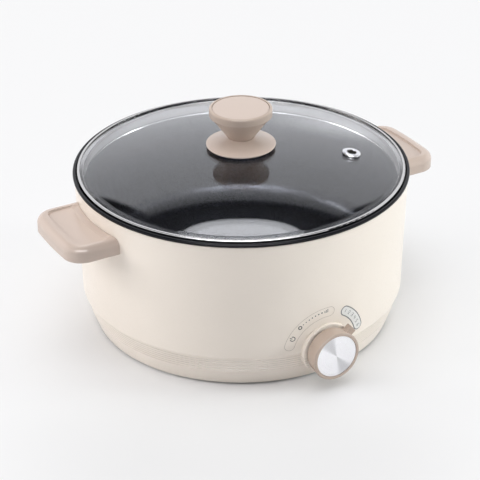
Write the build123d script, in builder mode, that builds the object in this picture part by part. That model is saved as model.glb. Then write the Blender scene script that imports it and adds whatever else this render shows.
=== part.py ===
from build123d import *
import os
from math import asin, atan2, cos, degrees, radians, sin, sqrt

# Electric hot pot with a lift-off glass lid.
# Millimetres.  The pot's axis is Z and the table is z = 0.  The dial faces -Y, the handles
# reach out along X and the mains inlet faces +Y.

# ---- Driving dimensions ---------------------------------------------------------------

# Cooking pot: a drawn aluminium pot whose rim hangs on the housing
pot_mouth_r = 141.8
pot_depth = 100.6
pot_taper = 2.6
pot_corner_r = 22.0
pot_gauge = 1.8
pot_floor = 2.5
mouth_round = 1.0
seat_width = 6.5
bead_width = 2.7
bead_height = 3.7
bead_slope = 1.0
bead_curl = 2.4
seat_fit = 0.2
rim_overhang = 1.2
rim_lift = 0.6

# Outer housing: a moulded shell with a plain foot band, a grooved band and a tall wall
foot_standoff = 2.0
housing_wall = 2.5
skirt_height = 15.0
band_height = 15.5
floor_rise = 9.7
seat_drop = 2.0
wall_flare = 2.6
wall_belly = 0.25
step_in = 1.9
band_taper = 3.6
skirt_taper = 5.4
groove_count = 6
groove_depth = 0.5
groove_width = 1.1
shelf_gap = 0.4

# Bottom cover, its towers and the feet
cover_thickness = 2.5
cover_recess = 1.0
cover_gap = 0.5
cover_ledge = 4.0
tower_r = 6.0
tower_foot_gap = 8.0
tower_count = 4
tower_wall_roof = 5.0
pot_boss_r = 5.5
pot_boss_length = 14.4
foot_r = 9.0
foot_margin = 6.3
foot_pocket = 1.0
vent_slot_width = 3.2
vent_slot_length = 24.0
vent_slot_count = 12
vent_circle_r = 52.0
rib_thickness = 1.8
rib_height = 3.5

# Screws
screw_r = 1.9
screw_head_r = 3.6
screw_head_height = 2.2
small_screw_r = 1.4
small_head_r = 2.7
thread_gap = 0.1
screw_gap = 0.4
wall_screw_bite = 10.0
inlet_screw_bite = 6.0
cover_screw_bite = 5.0

# Heating
shield_thickness = 0.8
shield_margin = 3.0
shield_rim = 2.5
spreader_gap = 3.0
spreader_thickness = 5.0
element_r = 4.0
element_ring_r = 66.0
element_bend_r = 12.0
element_tail_x = 14.0
element_tail_reach = 14.0
groove_gap = 0.15
blade_width = 6.3
blade_thickness = 0.8
blade_length = 11.0
phial_r = 3.0
phial_length = 50.0
phial_y = -25.0
fuse_r = 2.2
fuse_length = 12.0
fuse_y = 25.0
clip_gauge = 0.8
clip_width = 8.0
clip_ear = 7.0
clip_screw_length = 4.0
capillary_r = 0.8
capillary_swing = 32.0

# Thermostat and dial
dial_height = 31.2
boss_r = 23.8
boss_standout = 2.8
dial_r = 22.7
dial_flare = 1.4
dial_length = 13.9
dial_gap = 1.3
dial_wall = 2.2
dial_web = 2.0
dial_rib = 1.6
dial_edge_round = 1.3
dial_rest_clock = 51.0
pointer_reach = 28.2
pointer_width = 7.2
pointer_depth = 5.5
cap_r = 19.6
cap_thickness = 1.0
cap_recess = 0.6
hub_r = 6.5
shaft_r = 3.0
shaft_run_gap = 0.05
shaft_flat = 1.0
bush_r = 4.2
bush_reach = 0.6
bracket_width = 34.0
bracket_height = 20.0
bracket_gauge = 1.2
thermostat_width = 24.0
thermostat_height = 20.0
thermostat_depth = 15.0
thermostat_lower_depth = 27.0
thermostat_lower_top = 4.6
bracket_screw_x = 14.0

# Indicator window beside the dial, an arc slot centred on the dial's axis
window_inner_r = 32.0
window_width = 8.0
window_start_clock = 26.0
window_end_clock = 80.0
lens_gap = 0.15
lens_proud = 0.3
lens_flange = 1.5
lamp_r = 1.6
lamp_length = 10.0
lamp_seat_width = 9.0
lamp_seat_length = 16.0

# Mains inlet in a moulded shroud at the back
shroud_standout = 14.8
shroud_width = 58.0
shroud_height = 29.0
shroud_round = 5.0
shroud_edge_round = 1.5
inlet_z = 33.0
inlet_flange_width = 50.0
inlet_flange_height = 22.0
inlet_flange_thickness = 2.5
inlet_body_width = 27.5
inlet_body_height = 19.6
inlet_body_depth = 21.0
socket_width = 24.2
socket_height = 16.3
socket_depth = 16.0
socket_corner = 4.5
pin_width = 2.0
pin_height = 4.0
pin_reach = 13.0
pin_spacing = 14.0
earth_pin_rise = 2.0
live_pin_drop = 2.0
tab_length = 8.0
inlet_screw_spacing = 40.0
inlet_gap = 0.25
block_x = 50.0
block_y = 28.0
block_length = 34.0
block_width = 18.0
block_height = 11.0

# Carrying handles
handle_standout = 39.0
handle_bow = 2.2
handle_half_width = 43.0
handle_corner_r = 18.0
handle_drop = 14.0
handle_thickness = 15.0
handle_edge_round = 6.8
handle_saddle_gap = 0.12
handle_skin = 3.0
dish_depth = 1.7
dish_draft = 0.5
dish_inner_gap = 1.6
dish_slope = 4.6
dish_outer_margin = 10.5
dish_end_margin = 8.5
dish_corner_r = 8.0
handle_screw_angle = 9.5
handle_post_r = 4.2
handle_post_y = 22.0
handle_post_inset = 14.0
handle_cover_thickness = 2.0
handle_cover_gap = 0.2
handle_cover_lip = 1.4

# Glass lid
band_gauge = 0.6
band_gap = 1.3
band_reach_in = 6.1
band_skirt = 10.0
band_lip = 2.3
glass_thickness = 4.0
glass_gap = 0.2
glass_land = 5.5
dome_rise = 17.8
vent_x = 85.6
vent_y = -49.1
vent_bore_r = 4.1
vent_tube_r = 4.9
vent_flange_r = 8.4
vent_flange = 1.4
vent_foot_r = 7.4
vent_foot = 0.8
vent_fit = 0.2
vent_notch_count = 6
vent_notch = 1.2
vent_seal_r = 8.1
vent_seal_thickness = 0.5

# Lid knob
gasket_r = 27.5
gasket_thickness = 1.2
knob_base_r = 31.2
knob_base_edge = 1.6
knob_base_rise = 7.5
knob_base_sag = 0.4
knob_collar_r = 12.4
knob_neck_r = 12.0
knob_shadow_gap = 0.5
knob_cone_height = 21.2
knob_cone_top_r = 27.0
knob_drum_r = 28.2
knob_drum_height = 7.1
knob_wall = 3.0
knob_cap_r = 25.2
knob_cap_gap = 0.35
knob_cap_seat = 2.0
knob_cap_thickness = 2.0
knob_cap_crown = 0.3
knob_edge_round = 1.6
insert_r = 4.0
insert_length = 12.0
knob_screw_r = 2.5
knob_hole_r = 4.5
knob_washer_r = 10.0
washer_thickness = 1.2
seal_thickness = 1.2
knob_screw_head_r = 4.8
knob_screw_head = 3.0

# ---- Derived sizes --------------------------------------------------------------------

housing_foot_z = foot_standoff
band_foot_z = housing_foot_z + skirt_height
wall_foot_z = band_foot_z + band_height
floor_z = wall_foot_z + floor_rise
pot_under_z = floor_z - pot_floor
ledge_z = floor_z + pot_depth
crest_z = ledge_z + bead_height
pot_seat_z = ledge_z - pot_gauge
housing_top_z = pot_seat_z + seat_drop
wall_height = housing_top_z - wall_foot_z

bead_inner_r = pot_mouth_r + seat_width
rim_r = bead_inner_r + bead_width
housing_top_r = rim_r - rim_overhang
wall_foot_r = housing_top_r - wall_flare
band_top_r = wall_foot_r - step_in
band_foot_r = band_top_r - band_taper
housing_foot_r = band_foot_r - skirt_taper
pot_outer_r = pot_mouth_r + pot_gauge
seat_outer_r = rim_r - bead_curl
shelf_r = pot_outer_r + shelf_gap

cover_bottom_z = housing_foot_z + cover_recess
cover_top_z = cover_bottom_z + cover_thickness
cover_r = housing_foot_r - housing_wall - cover_gap
ledge_inner_r = cover_r - cover_ledge
foot_circle_r = cover_r - foot_margin - foot_r
tower_circle_r = foot_circle_r - foot_r - tower_foot_gap - tower_r
boss_foot_z = pot_under_z - pot_boss_length
shield_z = boss_foot_z - shield_thickness
screw_floor_z = shield_z - tower_wall_roof

shield_r = tower_circle_r + tower_r + shield_margin
spreader_r = tower_circle_r - tower_r - spreader_gap
spreader_z = pot_under_z - spreader_thickness
element_tail_y = spreader_r + element_tail_reach
dial_z = housing_foot_z + dial_height
dial_back_r = dial_r - dial_flare
boss_reach = wall_foot_r + boss_standout
boss_face_y = -boss_reach
boss_back_y = boss_face_y + housing_wall
dial_back_y = boss_face_y - dial_gap
dial_front_y = dial_back_y - dial_length
window_outer_r = window_inner_r + window_width
window_mid_r = window_inner_r + window_width / 2
lens_reach = boss_standout + 4 * housing_wall
shroud_reach = wall_foot_r + shroud_standout

handle_top_z = housing_top_z - handle_drop
handle_bottom_z = handle_top_z - handle_thickness
handle_screw_z = handle_bottom_z + handle_thickness / 2

band_r = bead_inner_r - band_gap
band_inside_r = band_r - band_gauge
glass_r = band_inside_r - glass_gap
glass_under_z = ledge_z + band_gauge
glass_top_z = glass_under_z + glass_thickness
lid_top_z = glass_top_z + glass_gap + band_gauge
skirt_r = band_r - band_reach_in
dome_foot_r = glass_r - glass_land
apex_z = glass_top_z + dome_rise
dome_under_z = apex_z - glass_thickness
dome_radius = (dome_foot_r**2 + dome_rise**2) / (2 * dome_rise)
dome_centre_z = apex_z - dome_radius

knob_base_z = apex_z + gasket_thickness
knob_neck_z = knob_base_z + knob_base_rise
drum_z = knob_neck_z + knob_cone_height
knob_top_z = drum_z + knob_drum_height


# ---- Helpers --------------------------------------------------------------------------

os.makedirs("parts", exist_ok=True)


def save(part, name):
    """Label a finished piece and write it to its own STEP file."""
    part.label = name
    export_step(part, f"parts/{name}.step")


def clock(radius, degrees_from_top, y):
    """A point around the dial's axis, by clock angle as seen from the front."""
    turn = radians(degrees_from_top)
    return (radius * sin(turn), y, dial_z + radius * cos(turn))


def facing_front(y, z=dial_z, x=0.0):
    """A plane that faces -Y, with its own x to the right as seen from the front."""
    return Plane(origin=(x, y, z), x_dir=(1, 0, 0), z_dir=(0, -1, 0))


def facing_back(y, z, x=0.0):
    """A plane that faces +Y."""
    return Plane(origin=(x, y, z), x_dir=(-1, 0, 0), z_dir=(0, 1, 0))


def facing_down(z, x=0.0, y=0.0):
    """A plane that faces down, with its own y along +Y."""
    return Plane(origin=(x, y, z), x_dir=(-1, 0, 0), z_dir=(0, 0, -1))


def pan_screw(shank_r, length, head_r, head_height):
    """A pan-head screw: the head's seat at z = 0, the shank down, a cross recess on top."""
    with BuildPart() as screw:
        with BuildSketch(Plane.XZ) as half:
            with BuildLine():
                Polyline((0, -length), (shank_r, -length), (shank_r, 0), (head_r, 0),
                         (head_r, head_height), (0, head_height), close=True)
            make_face()
            fillet(half.vertices().sort_by_distance((head_r, head_height))[0], head_height * 0.5)
            chamfer(half.vertices().sort_by_distance((shank_r, -length))[0], shank_r * 0.4)
        revolve(axis=Axis.Z)
        with BuildSketch(Plane.XY.offset(head_height)):
            Rectangle(head_r * 1.1, head_r * 0.24)
            Rectangle(head_r * 0.24, head_r * 1.1)
        extrude(amount=-head_height * 0.5, mode=Mode.SUBTRACT)
    return screw.part


def flush_screw(shank_r, length, head_r):
    """A countersunk screw: the head's flat at z = 0, the shank down, a cross recess on top."""
    cone = head_r - shank_r
    with BuildPart() as screw:
        with BuildSketch(Plane.XZ):
            with BuildLine():
                Polyline((0, 0), (head_r, 0), (shank_r, -cone), (shank_r, -length + shank_r * 0.5),
                         (shank_r * 0.7, -length), (0, -length), close=True)
            make_face()
        revolve(axis=Axis.Z)
        with BuildSketch(Plane.XY):
            Rectangle(head_r * 1.1, head_r * 0.24)
            Rectangle(head_r * 0.24, head_r * 1.1)
        extrude(amount=-cone * 0.6, mode=Mode.SUBTRACT)
    return screw.part


def wall_arc(grow):
    """The foot, the middle and the top of the tall wall's outline, grown outwards."""
    middle_r = (wall_foot_r + housing_top_r) / 2 - wall_belly
    return ((wall_foot_r + grow, wall_foot_z), (middle_r + grow, wall_foot_z + wall_height / 2),
            (housing_top_r + grow, housing_top_z))


def wall_outline(grow=0.0):
    """The housing's outer outline from its foot to its top, in the sketch's r and z."""
    foot = (housing_foot_r + grow, housing_foot_z)
    wall = wall_arc(grow)
    Polyline(foot, (band_foot_r + grow, band_foot_z), (band_top_r + grow, wall_foot_z), wall[0])
    ThreePointArc(*wall)
    return foot, wall[2]


def skirt_inside_r(z):
    """The inner radius of the plain foot band at a height."""
    return housing_foot_r - housing_wall + skirt_taper * (z - housing_foot_z) / skirt_height


def outer_wall_r(z):
    """The tall wall's outer radius at a height, near enough for places and depths."""
    return wall_foot_r + wall_flare * (z - wall_foot_z) / wall_height


# ---- Cooking pot ----------------------------------------------------------------------

with BuildPart() as inner_pot:
    with BuildSketch(Plane.XZ) as pot_section:
        foot_in = pot_mouth_r - pot_taper
        foot_out = foot_in + pot_gauge
        rim_under_z = housing_top_z + rim_lift
        with BuildLine():
            Polyline((0, floor_z), (foot_in, floor_z), (pot_mouth_r, ledge_z),
                     (bead_inner_r - bead_slope, ledge_z), (bead_inner_r, crest_z), (rim_r, crest_z),
                     (rim_r, rim_under_z), (seat_outer_r, rim_under_z), (seat_outer_r, pot_seat_z),
                     (pot_outer_r, pot_seat_z), (foot_out, pot_under_z), (0, pot_under_z), close=True)
        make_face()
        for corner, corner_round in (((foot_in, floor_z), pot_corner_r),
                                     ((foot_out, pot_under_z), pot_corner_r + pot_gauge),
                                     ((pot_mouth_r, ledge_z), mouth_round),
                                     ((bead_inner_r, crest_z), bead_width * 0.42),
                                     ((rim_r, crest_z), bead_width * 0.42),
                                     ((rim_r, rim_under_z), bead_width * 0.42)):
            fillet(pot_section.vertices().sort_by_distance(corner)[0], corner_round)
    revolve(axis=Axis.Z)
    # Four threaded bosses under the floor take the screws of the bottom cover
    with BuildSketch(Plane.XY.offset(boss_foot_z)):
        with PolarLocations(tower_circle_r, tower_count, start_angle=45):
            Circle(pot_boss_r)
    extrude(amount=pot_boss_length + pot_floor / 2)
    with BuildSketch(Plane.XY.offset(boss_foot_z)):
        with PolarLocations(tower_circle_r, tower_count, start_angle=45):
            Circle(screw_r + thread_gap)
    extrude(amount=pot_boss_length - 2.0, mode=Mode.SUBTRACT)
save(inner_pot.part, "inner_pot")

# ---- Housing --------------------------------------------------------------------------

with BuildPart() as wall_solid:
    with BuildSketch(Plane.XZ):
        with BuildLine():
            foot_end, top_end = wall_outline()
            Polyline(top_end, (0, housing_top_z), (0, housing_foot_z), foot_end)
        make_face()
    revolve(axis=Axis.Z)

with BuildPart() as cavity:
    with BuildSketch(Plane.XZ):
        with BuildLine():
            ledge_top_z = cover_top_z + housing_wall
            shelf_under_z = pot_seat_z - housing_wall
            shelf_slope = housing_top_r - housing_wall - shelf_r
            wall_top = (housing_top_r - housing_wall, shelf_under_z - shelf_slope)
            wall_low = (wall_foot_r - housing_wall, wall_foot_z + step_in)
            wall_half = ((wall_top[0] + wall_low[0]) / 2 - wall_belly, (wall_top[1] + wall_low[1]) / 2)
            rim_edge_r = seat_outer_r + seat_fit
            Polyline((0, housing_foot_z), (skirt_inside_r(housing_foot_z), housing_foot_z),
                     (skirt_inside_r(cover_top_z), cover_top_z), (ledge_inner_r, cover_top_z),
                     (ledge_inner_r, ledge_top_z), (skirt_inside_r(ledge_top_z), ledge_top_z),
                     (band_foot_r - housing_wall, band_foot_z),
                     (band_top_r - housing_wall, wall_foot_z), wall_low)
            ThreePointArc(wall_low, wall_half, wall_top)
            Polyline(wall_top, (shelf_r, shelf_under_z), (shelf_r, pot_seat_z),
                     (rim_edge_r, pot_seat_z), (rim_edge_r, housing_top_z),
                     (0, housing_top_z), (0, housing_foot_z))
        make_face()
    revolve(axis=Axis.Z)


def window_slot(shrink, y):
    """The crescent window's outline on a plane that faces the front."""
    half = window_width / 2
    cap = degrees(asin(half / window_mid_r))
    first = 90 - window_end_clock + cap
    sweep_angle = window_end_clock - window_start_clock - 2 * cap
    with BuildSketch(facing_front(y)) as slot:
        with BuildLine(mode=Mode.PRIVATE) as middle:
            CenterArc((0, 0), window_mid_r, first, sweep_angle)
        SlotArc(middle.edges()[0], window_width - 2 * shrink)
    return slot.sketch


with BuildPart() as housing:
    add(wall_solid.part)
    # Round the lower edge of the tall wall and the foot of the housing
    rings = housing.edges().filter_by(GeomType.CIRCLE)
    fillet(rings.sort_by_distance((wall_foot_r, 0, wall_foot_z))[0], step_in * 0.8)
    fillet(housing.edges().filter_by(GeomType.CIRCLE).sort_by_distance(
        (housing_foot_r, 0, housing_foot_z))[0], 0.8)
    # Fine grooves round the band
    with BuildSketch(Plane.XZ):
        pitch = (band_height - groove_width) / groove_count
        for index in range(groove_count):
            middle_z = band_foot_z + groove_width / 2 + pitch * index
            lean = band_taper / band_height
            wall_r = band_foot_r + lean * (middle_z - band_foot_z)
            with BuildLine():
                Polyline((wall_r - lean * groove_width / 2 + 0.05, middle_z - groove_width / 2),
                         (wall_r - groove_depth, middle_z),
                         (wall_r + lean * groove_width / 2 + 0.05, middle_z + groove_width / 2),
                         close=True)
            make_face()
    revolve(axis=Axis.Z, mode=Mode.SUBTRACT)
    # Round flat seat for the dial, standing out of the wall and the bands
    with BuildSketch(facing_front(boss_face_y)):
        Circle(boss_r)
    extrude(amount=-(boss_reach - band_foot_r + 2 * boss_r / 3))
    fillet(housing.faces().filter_by(Axis.Y).sort_by(Axis.Y)[0].edges(), 0.7)
    # Shroud round the mains inlet
    with BuildSketch(facing_back(shroud_reach, inlet_z)):
        RectangleRounded(shroud_width, shroud_height, shroud_round)
    extrude(amount=-(shroud_reach - housing_foot_r + 4 * housing_wall), taper=-2)
    fillet(housing.faces().filter_by(Axis.Y).sort_by(Axis.Y)[-1].outer_wire().edges(), shroud_edge_round)
    # Hollow it out
    add(cavity.part, mode=Mode.SUBTRACT)
    with BuildSketch(facing_front(boss_back_y)):
        Circle(boss_r - housing_wall)
    extrude(amount=-(boss_reach - band_foot_r), mode=Mode.SUBTRACT)
    # Holes of the dial seat: the thermostat's bush and two countersunk screws
    with BuildSketch(facing_front(boss_face_y)):
        Circle(bush_r + screw_gap)
    extrude(amount=-2 * housing_wall, mode=Mode.SUBTRACT)
    with Locations(facing_front(boss_face_y)):
        with Locations((bracket_screw_x, 0), (-bracket_screw_x, 0)):
            CounterSinkHole(small_screw_r + screw_gap / 2, small_head_r + screw_gap / 2, 2 * housing_wall)
    # The crescent window
    extrude(window_slot(0, boss_face_y), amount=-lens_reach, mode=Mode.SUBTRACT)
    # The inlet's recess, its hole and the holes of its screws
    with BuildSketch(facing_back(shroud_reach, inlet_z)):
        RectangleRounded(inlet_flange_width + 2 * inlet_gap, inlet_flange_height + 2 * inlet_gap, 4)
    extrude(amount=-inlet_flange_thickness, mode=Mode.SUBTRACT)
    with BuildSketch(facing_back(shroud_reach, inlet_z)):
        RectangleRounded(inlet_body_width + 2 * inlet_gap, inlet_body_height + 2 * inlet_gap, 2)
    extrude(amount=-2 * inlet_body_depth, mode=Mode.SUBTRACT)
    with BuildSketch(facing_back(shroud_reach, inlet_z)):
        with GridLocations(inlet_screw_spacing, 1, 2, 1):
            Circle(small_screw_r + thread_gap)
    extrude(amount=-(inlet_flange_thickness + 8), mode=Mode.SUBTRACT)
    # Holes of the handle screws, two on each side
    for side in (0, 180):
        for turn in (-handle_screw_angle, handle_screw_angle):
            radial = Plane((0, 0, handle_screw_z), x_dir=(0, 0, 1),
                           z_dir=(cos(radians(side + turn)), sin(radians(side + turn)), 0))
            with BuildSketch(radial.offset(pot_outer_r)):
                Circle(screw_r + screw_gap / 2)
            extrude(amount=rim_r - pot_outer_r, mode=Mode.SUBTRACT)
save(housing.part, "housing")

# ---- Bottom cover, screws and feet ----------------------------------------------------

with BuildPart() as bottom_cover:
    with BuildSketch(Plane.XY.offset(cover_bottom_z)):
        Circle(cover_r)
    extrude(amount=cover_thickness)
    with BuildSketch(Plane.XY.offset(cover_top_z)):
        with PolarLocations(tower_circle_r, tower_count, start_angle=45):
            Circle(tower_r)
    extrude(amount=shield_z - cover_top_z, taper=1)
    # Radial ribs between the rows of vent slots, and two rings that join them
    with BuildSketch(Plane.XY.offset(cover_top_z)):
        rib_inner_r = vent_circle_r - vent_slot_length / 2 - 6
        rib_outer_r = tower_circle_r - tower_r - 3
        for ring_r in (rib_outer_r, rib_inner_r):
            Circle(ring_r + rib_thickness / 2)
            Circle(ring_r - rib_thickness / 2, mode=Mode.SUBTRACT)
        with PolarLocations((rib_inner_r + rib_outer_r) / 2, vent_slot_count,
                            start_angle=180 / vent_slot_count):
            Rectangle(rib_outer_r - rib_inner_r, rib_thickness)
    extrude(amount=rib_height)
    with BuildSketch(Plane.XY.offset(cover_bottom_z)):
        with PolarLocations(vent_circle_r, vent_slot_count):
            SlotOverall(vent_slot_length, vent_slot_width)
    extrude(amount=cover_thickness, mode=Mode.SUBTRACT)
    # Screw wells from below, with a roof for the head to bear on
    with BuildSketch(Plane.XY.offset(cover_bottom_z)):
        with PolarLocations(tower_circle_r, tower_count, start_angle=45):
            Circle(screw_head_r + screw_gap)
    extrude(amount=screw_floor_z - cover_bottom_z, mode=Mode.SUBTRACT)
    with BuildSketch(Plane.XY.offset(cover_bottom_z)):
        with PolarLocations(tower_circle_r, tower_count, start_angle=45):
            Circle(screw_r + screw_gap)
    extrude(amount=shield_z - cover_bottom_z, mode=Mode.SUBTRACT)
    # Pockets that hold the feet
    with BuildSketch(Plane.XY.offset(cover_bottom_z)):
        with PolarLocations(foot_circle_r, tower_count, start_angle=45):
            Circle(foot_r + 0.1)
    extrude(amount=foot_pocket, mode=Mode.SUBTRACT)
    fillet(bottom_cover.faces().filter_by(Axis.Z).sort_by(Axis.Z)[0].outer_wire().edges(), 0.8)
save(bottom_cover.part, "bottom_cover")

cover_screw = pan_screw(screw_r, shield_z - screw_floor_z + pot_boss_length * 0.7,
                        screw_head_r, screw_head_height)
with BuildPart() as cover_screws:
    with Locations(facing_down(screw_floor_z)):
        with PolarLocations(tower_circle_r, tower_count, start_angle=45):
            add(cover_screw)
save(cover_screws.part, "cover_screws")

foot_height = cover_bottom_z + foot_pocket
for index in range(tower_count):
    turn = radians(45 + 360 / tower_count * index)
    with BuildPart() as rubber_foot:
        with BuildSketch(Plane((foot_circle_r * cos(turn), foot_circle_r * sin(turn), 0))):
            Circle(foot_r)
        extrude(amount=foot_height)
        fillet(rubber_foot.edges().group_by(Axis.Z)[0], 0.8)
        with BuildSketch(Plane((foot_circle_r * cos(turn), foot_circle_r * sin(turn), 0))):
            Circle(foot_r * 0.45)
        extrude(amount=0.6, mode=Mode.SUBTRACT)
    save(rubber_foot.part, f"rubber_foot_{index + 1}")

# ---- Heating parts --------------------------------------------------------------------


def element_path(z):
    """The element's centre line: a ring open at the back, with two straight tails."""
    bend_x = element_tail_x + element_bend_r
    bend_y = sqrt((element_ring_r + element_bend_r)**2 - bend_x**2)
    share = element_ring_r / (element_ring_r + element_bend_r)
    join_x = bend_x * share
    join_y = bend_y * share
    middle = (bend_x - element_bend_r * cos(0.45), bend_y - element_bend_r * sin(0.45))
    with BuildLine(Plane.XY.offset(z)) as line:
        Line((element_tail_x, element_tail_y), (element_tail_x, bend_y))
        ThreePointArc((element_tail_x, bend_y), middle, (join_x, join_y))
        ThreePointArc((join_x, join_y), (0, -element_ring_r), (-join_x, join_y))
        ThreePointArc((-join_x, join_y), (-middle[0], middle[1]), (-element_tail_x, bend_y))
        Line((-element_tail_x, bend_y), (-element_tail_x, element_tail_y))
    return line.wires()[0]


def ear_offset(radius):
    """How far a clip's screw sits from its tube's axis."""
    return radius + 0.1 + clip_gauge + clip_ear / 2


clip_holes = [(0, y + side * ear_offset(radius))
              for radius, y in ((phial_r, phial_y), (fuse_r, fuse_y)) for side in (-1, 1)]
element_wire = element_path(spreader_z)
element_start = Plane((element_tail_x, element_tail_y, spreader_z), x_dir=(1, 0, 0), z_dir=(0, -1, 0))

with BuildPart() as heating_element:
    with BuildSketch(element_start):
        Circle(element_r)
    sweep(path=element_wire)
save(heating_element.part, "heating_element")

with BuildPart() as heat_spreader:
    with BuildSketch(Plane.XY.offset(spreader_z)):
        Circle(spreader_r)
        Circle(element_r * 3, mode=Mode.SUBTRACT)
    extrude(amount=spreader_thickness)
    chamfer(heat_spreader.faces().sort_by(Axis.Z)[0].outer_wire().edges(), 1.0)
    with BuildSketch(element_start):
        Circle(element_r + groove_gap)
    sweep(path=element_wire, mode=Mode.SUBTRACT)
    with BuildSketch(Plane.XY.offset(spreader_z)):
        with Locations(*clip_holes):
            Circle(small_screw_r + thread_gap)
    extrude(amount=clip_screw_length, mode=Mode.SUBTRACT)
save(heat_spreader.part, "heat_spreader")

with BuildPart() as element_terminals:
    with BuildSketch(facing_back(element_tail_y, spreader_z)):
        with GridLocations(2 * element_tail_x, 1, 2, 1):
            Circle(element_r * 0.6)
    extrude(amount=2.5)
    with BuildSketch(facing_back(element_tail_y + 2.5, spreader_z)):
        with GridLocations(2 * element_tail_x, 1, 2, 1):
            Rectangle(blade_width, blade_thickness)
    extrude(amount=blade_length)
save(element_terminals.part, "element_terminals")

with BuildPart() as heat_shield:
    with BuildSketch(Plane.XZ):
        with BuildLine():
            top = shield_z + shield_thickness
            Polyline((0, shield_z), (shield_r, shield_z), (shield_r + shield_rim, shield_z + shield_rim),
                     (shield_r + shield_rim - shield_thickness, shield_z + shield_rim),
                     (shield_r - shield_thickness / 2, top), (0, top), close=True)
        make_face()
    revolve(axis=Axis.Z)
    with BuildSketch(Plane.XY.offset(shield_z)):
        with PolarLocations(tower_circle_r, tower_count, start_angle=45):
            Circle(screw_r + screw_gap)
    extrude(amount=shield_thickness, mode=Mode.SUBTRACT)
save(heat_shield.part, "heat_shield")


def tube_clip(radius, y, x):
    """A sheet strap that holds a tube against the spreader, with an ear on each side."""
    inside = radius + 0.1
    drop = 2 * radius + 0.2
    with BuildPart() as clip:
        with BuildSketch(Plane((x, y, spreader_z), x_dir=(0, 1, 0), z_dir=(1, 0, 0))) as strap:
            with BuildLine():
                outside = inside + clip_gauge
                Polyline((-outside - clip_ear, 0), (-inside, 0), (-inside, -drop + inside))
                ThreePointArc((-inside, -drop + inside), (0, -drop), (inside, -drop + inside))
                Polyline((inside, -drop + inside), (inside, 0), (outside + clip_ear, 0),
                         (outside + clip_ear, -clip_gauge), (outside, -clip_gauge),
                         (outside, -drop + inside))
                ThreePointArc((outside, -drop + inside), (0, -drop - clip_gauge),
                              (-outside, -drop + inside))
                Polyline((-outside, -drop + inside), (-outside, -clip_gauge),
                         (-outside - clip_ear, -clip_gauge), (-outside - clip_ear, 0))
            make_face()
        extrude(amount=clip_width / 2, both=True)
        with BuildSketch(Plane((x, y, spreader_z))):
            with GridLocations(1, 2 * ear_offset(radius), 1, 2):
                Circle(small_screw_r + thread_gap)
        extrude(amount=-2 * clip_gauge, mode=Mode.SUBTRACT)
    return clip.part


with BuildPart() as sensor_phial:
    phial_z = spreader_z - phial_r - 0.1
    with BuildSketch(Plane((-phial_length / 2, phial_y, phial_z), x_dir=(0, 1, 0), z_dir=(1, 0, 0))):
        Circle(phial_r)
    extrude(amount=phial_length)
    fillet(sensor_phial.edges().filter_by(GeomType.CIRCLE), phial_r * 0.4)
save(sensor_phial.part, "sensor_phial")
save(tube_clip(phial_r, phial_y, 0.0), "phial_clip")

with BuildPart() as thermal_fuse:
    fuse_z = spreader_z - fuse_r - 0.1
    with BuildSketch(Plane((-fuse_length / 2, fuse_y, fuse_z), x_dir=(0, 1, 0), z_dir=(1, 0, 0))):
        Circle(fuse_r)
    extrude(amount=fuse_length)
    with BuildSketch(Plane((-fuse_length / 2 - 6, fuse_y, fuse_z), x_dir=(0, 1, 0), z_dir=(1, 0, 0))):
        Circle(0.5)
    extrude(amount=fuse_length + 12)
save(thermal_fuse.part, "thermal_fuse")
save(tube_clip(fuse_r, fuse_y, 0.0), "fuse_clip")

clip_screw = pan_screw(small_screw_r, clip_gauge + clip_screw_length - 0.5, small_head_r, 1.6)
with BuildPart() as clip_screws:
    with Locations(facing_down(spreader_z - clip_gauge)):
        with Locations(*clip_holes):
            add(clip_screw)
save(clip_screws.part, "clip_screws")

# ---- Thermostat -----------------------------------------------------------------------

thermostat_front_y = boss_back_y + bracket_gauge
thermostat_back_y = thermostat_front_y + thermostat_depth
thermostat_tail_y = thermostat_front_y + thermostat_lower_depth

with BuildPart() as thermostat_bracket:
    with BuildSketch(facing_front(thermostat_front_y)):
        RectangleRounded(bracket_width, bracket_height, 3)
        Circle(bush_r + thread_gap, mode=Mode.SUBTRACT)
        with Locations((bracket_screw_x, 0), (-bracket_screw_x, 0)):
            Circle(small_screw_r + thread_gap, mode=Mode.SUBTRACT)
    extrude(amount=bracket_gauge)
save(thermostat_bracket.part, "thermostat_bracket")

with BuildPart() as thermostat_body:
    with BuildSketch(Plane.YZ.offset(-thermostat_width / 2)):
        with BuildLine():
            half = thermostat_height / 2
            Polyline((thermostat_front_y, dial_z + half), (thermostat_back_y, dial_z + half),
                     (thermostat_back_y, dial_z + thermostat_lower_top),
                     (thermostat_tail_y, dial_z + thermostat_lower_top),
                     (thermostat_tail_y, dial_z - half), (thermostat_front_y, dial_z - half), close=True)
        make_face()
    extrude(amount=thermostat_width)
    chamfer(thermostat_body.edges().filter_by(Axis.Y), 1.0)
    # Threaded bush that passes through the bracket and the dial seat
    with BuildSketch(facing_front(thermostat_front_y)):
        Circle(bush_r)
    extrude(amount=bracket_gauge + housing_wall + bush_reach)
    with BuildSketch(facing_front(boss_face_y - bush_reach)):
        Circle(shaft_r + shaft_run_gap)
    extrude(amount=-(bush_reach + housing_wall + bracket_gauge + thermostat_depth - 4.0), mode=Mode.SUBTRACT)
    # Connection tabs at the tail
    with BuildSketch(facing_back(thermostat_tail_y, dial_z - half / 2)):
        with GridLocations(thermostat_width / 2, 1, 2, 1):
            Rectangle(blade_thickness, blade_width)
    extrude(amount=tab_length)
save(thermostat_body.part, "thermostat_body")

bracket_screw = flush_screw(small_screw_r, housing_wall + bracket_gauge + 1.5, small_head_r)
with BuildPart() as thermostat_screws:
    with Locations(facing_front(boss_face_y)):
        with Locations((bracket_screw_x, 0, -0.05), (-bracket_screw_x, 0, -0.05)):
            add(bracket_screw)
save(thermostat_screws.part, "thermostat_screws")

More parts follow.
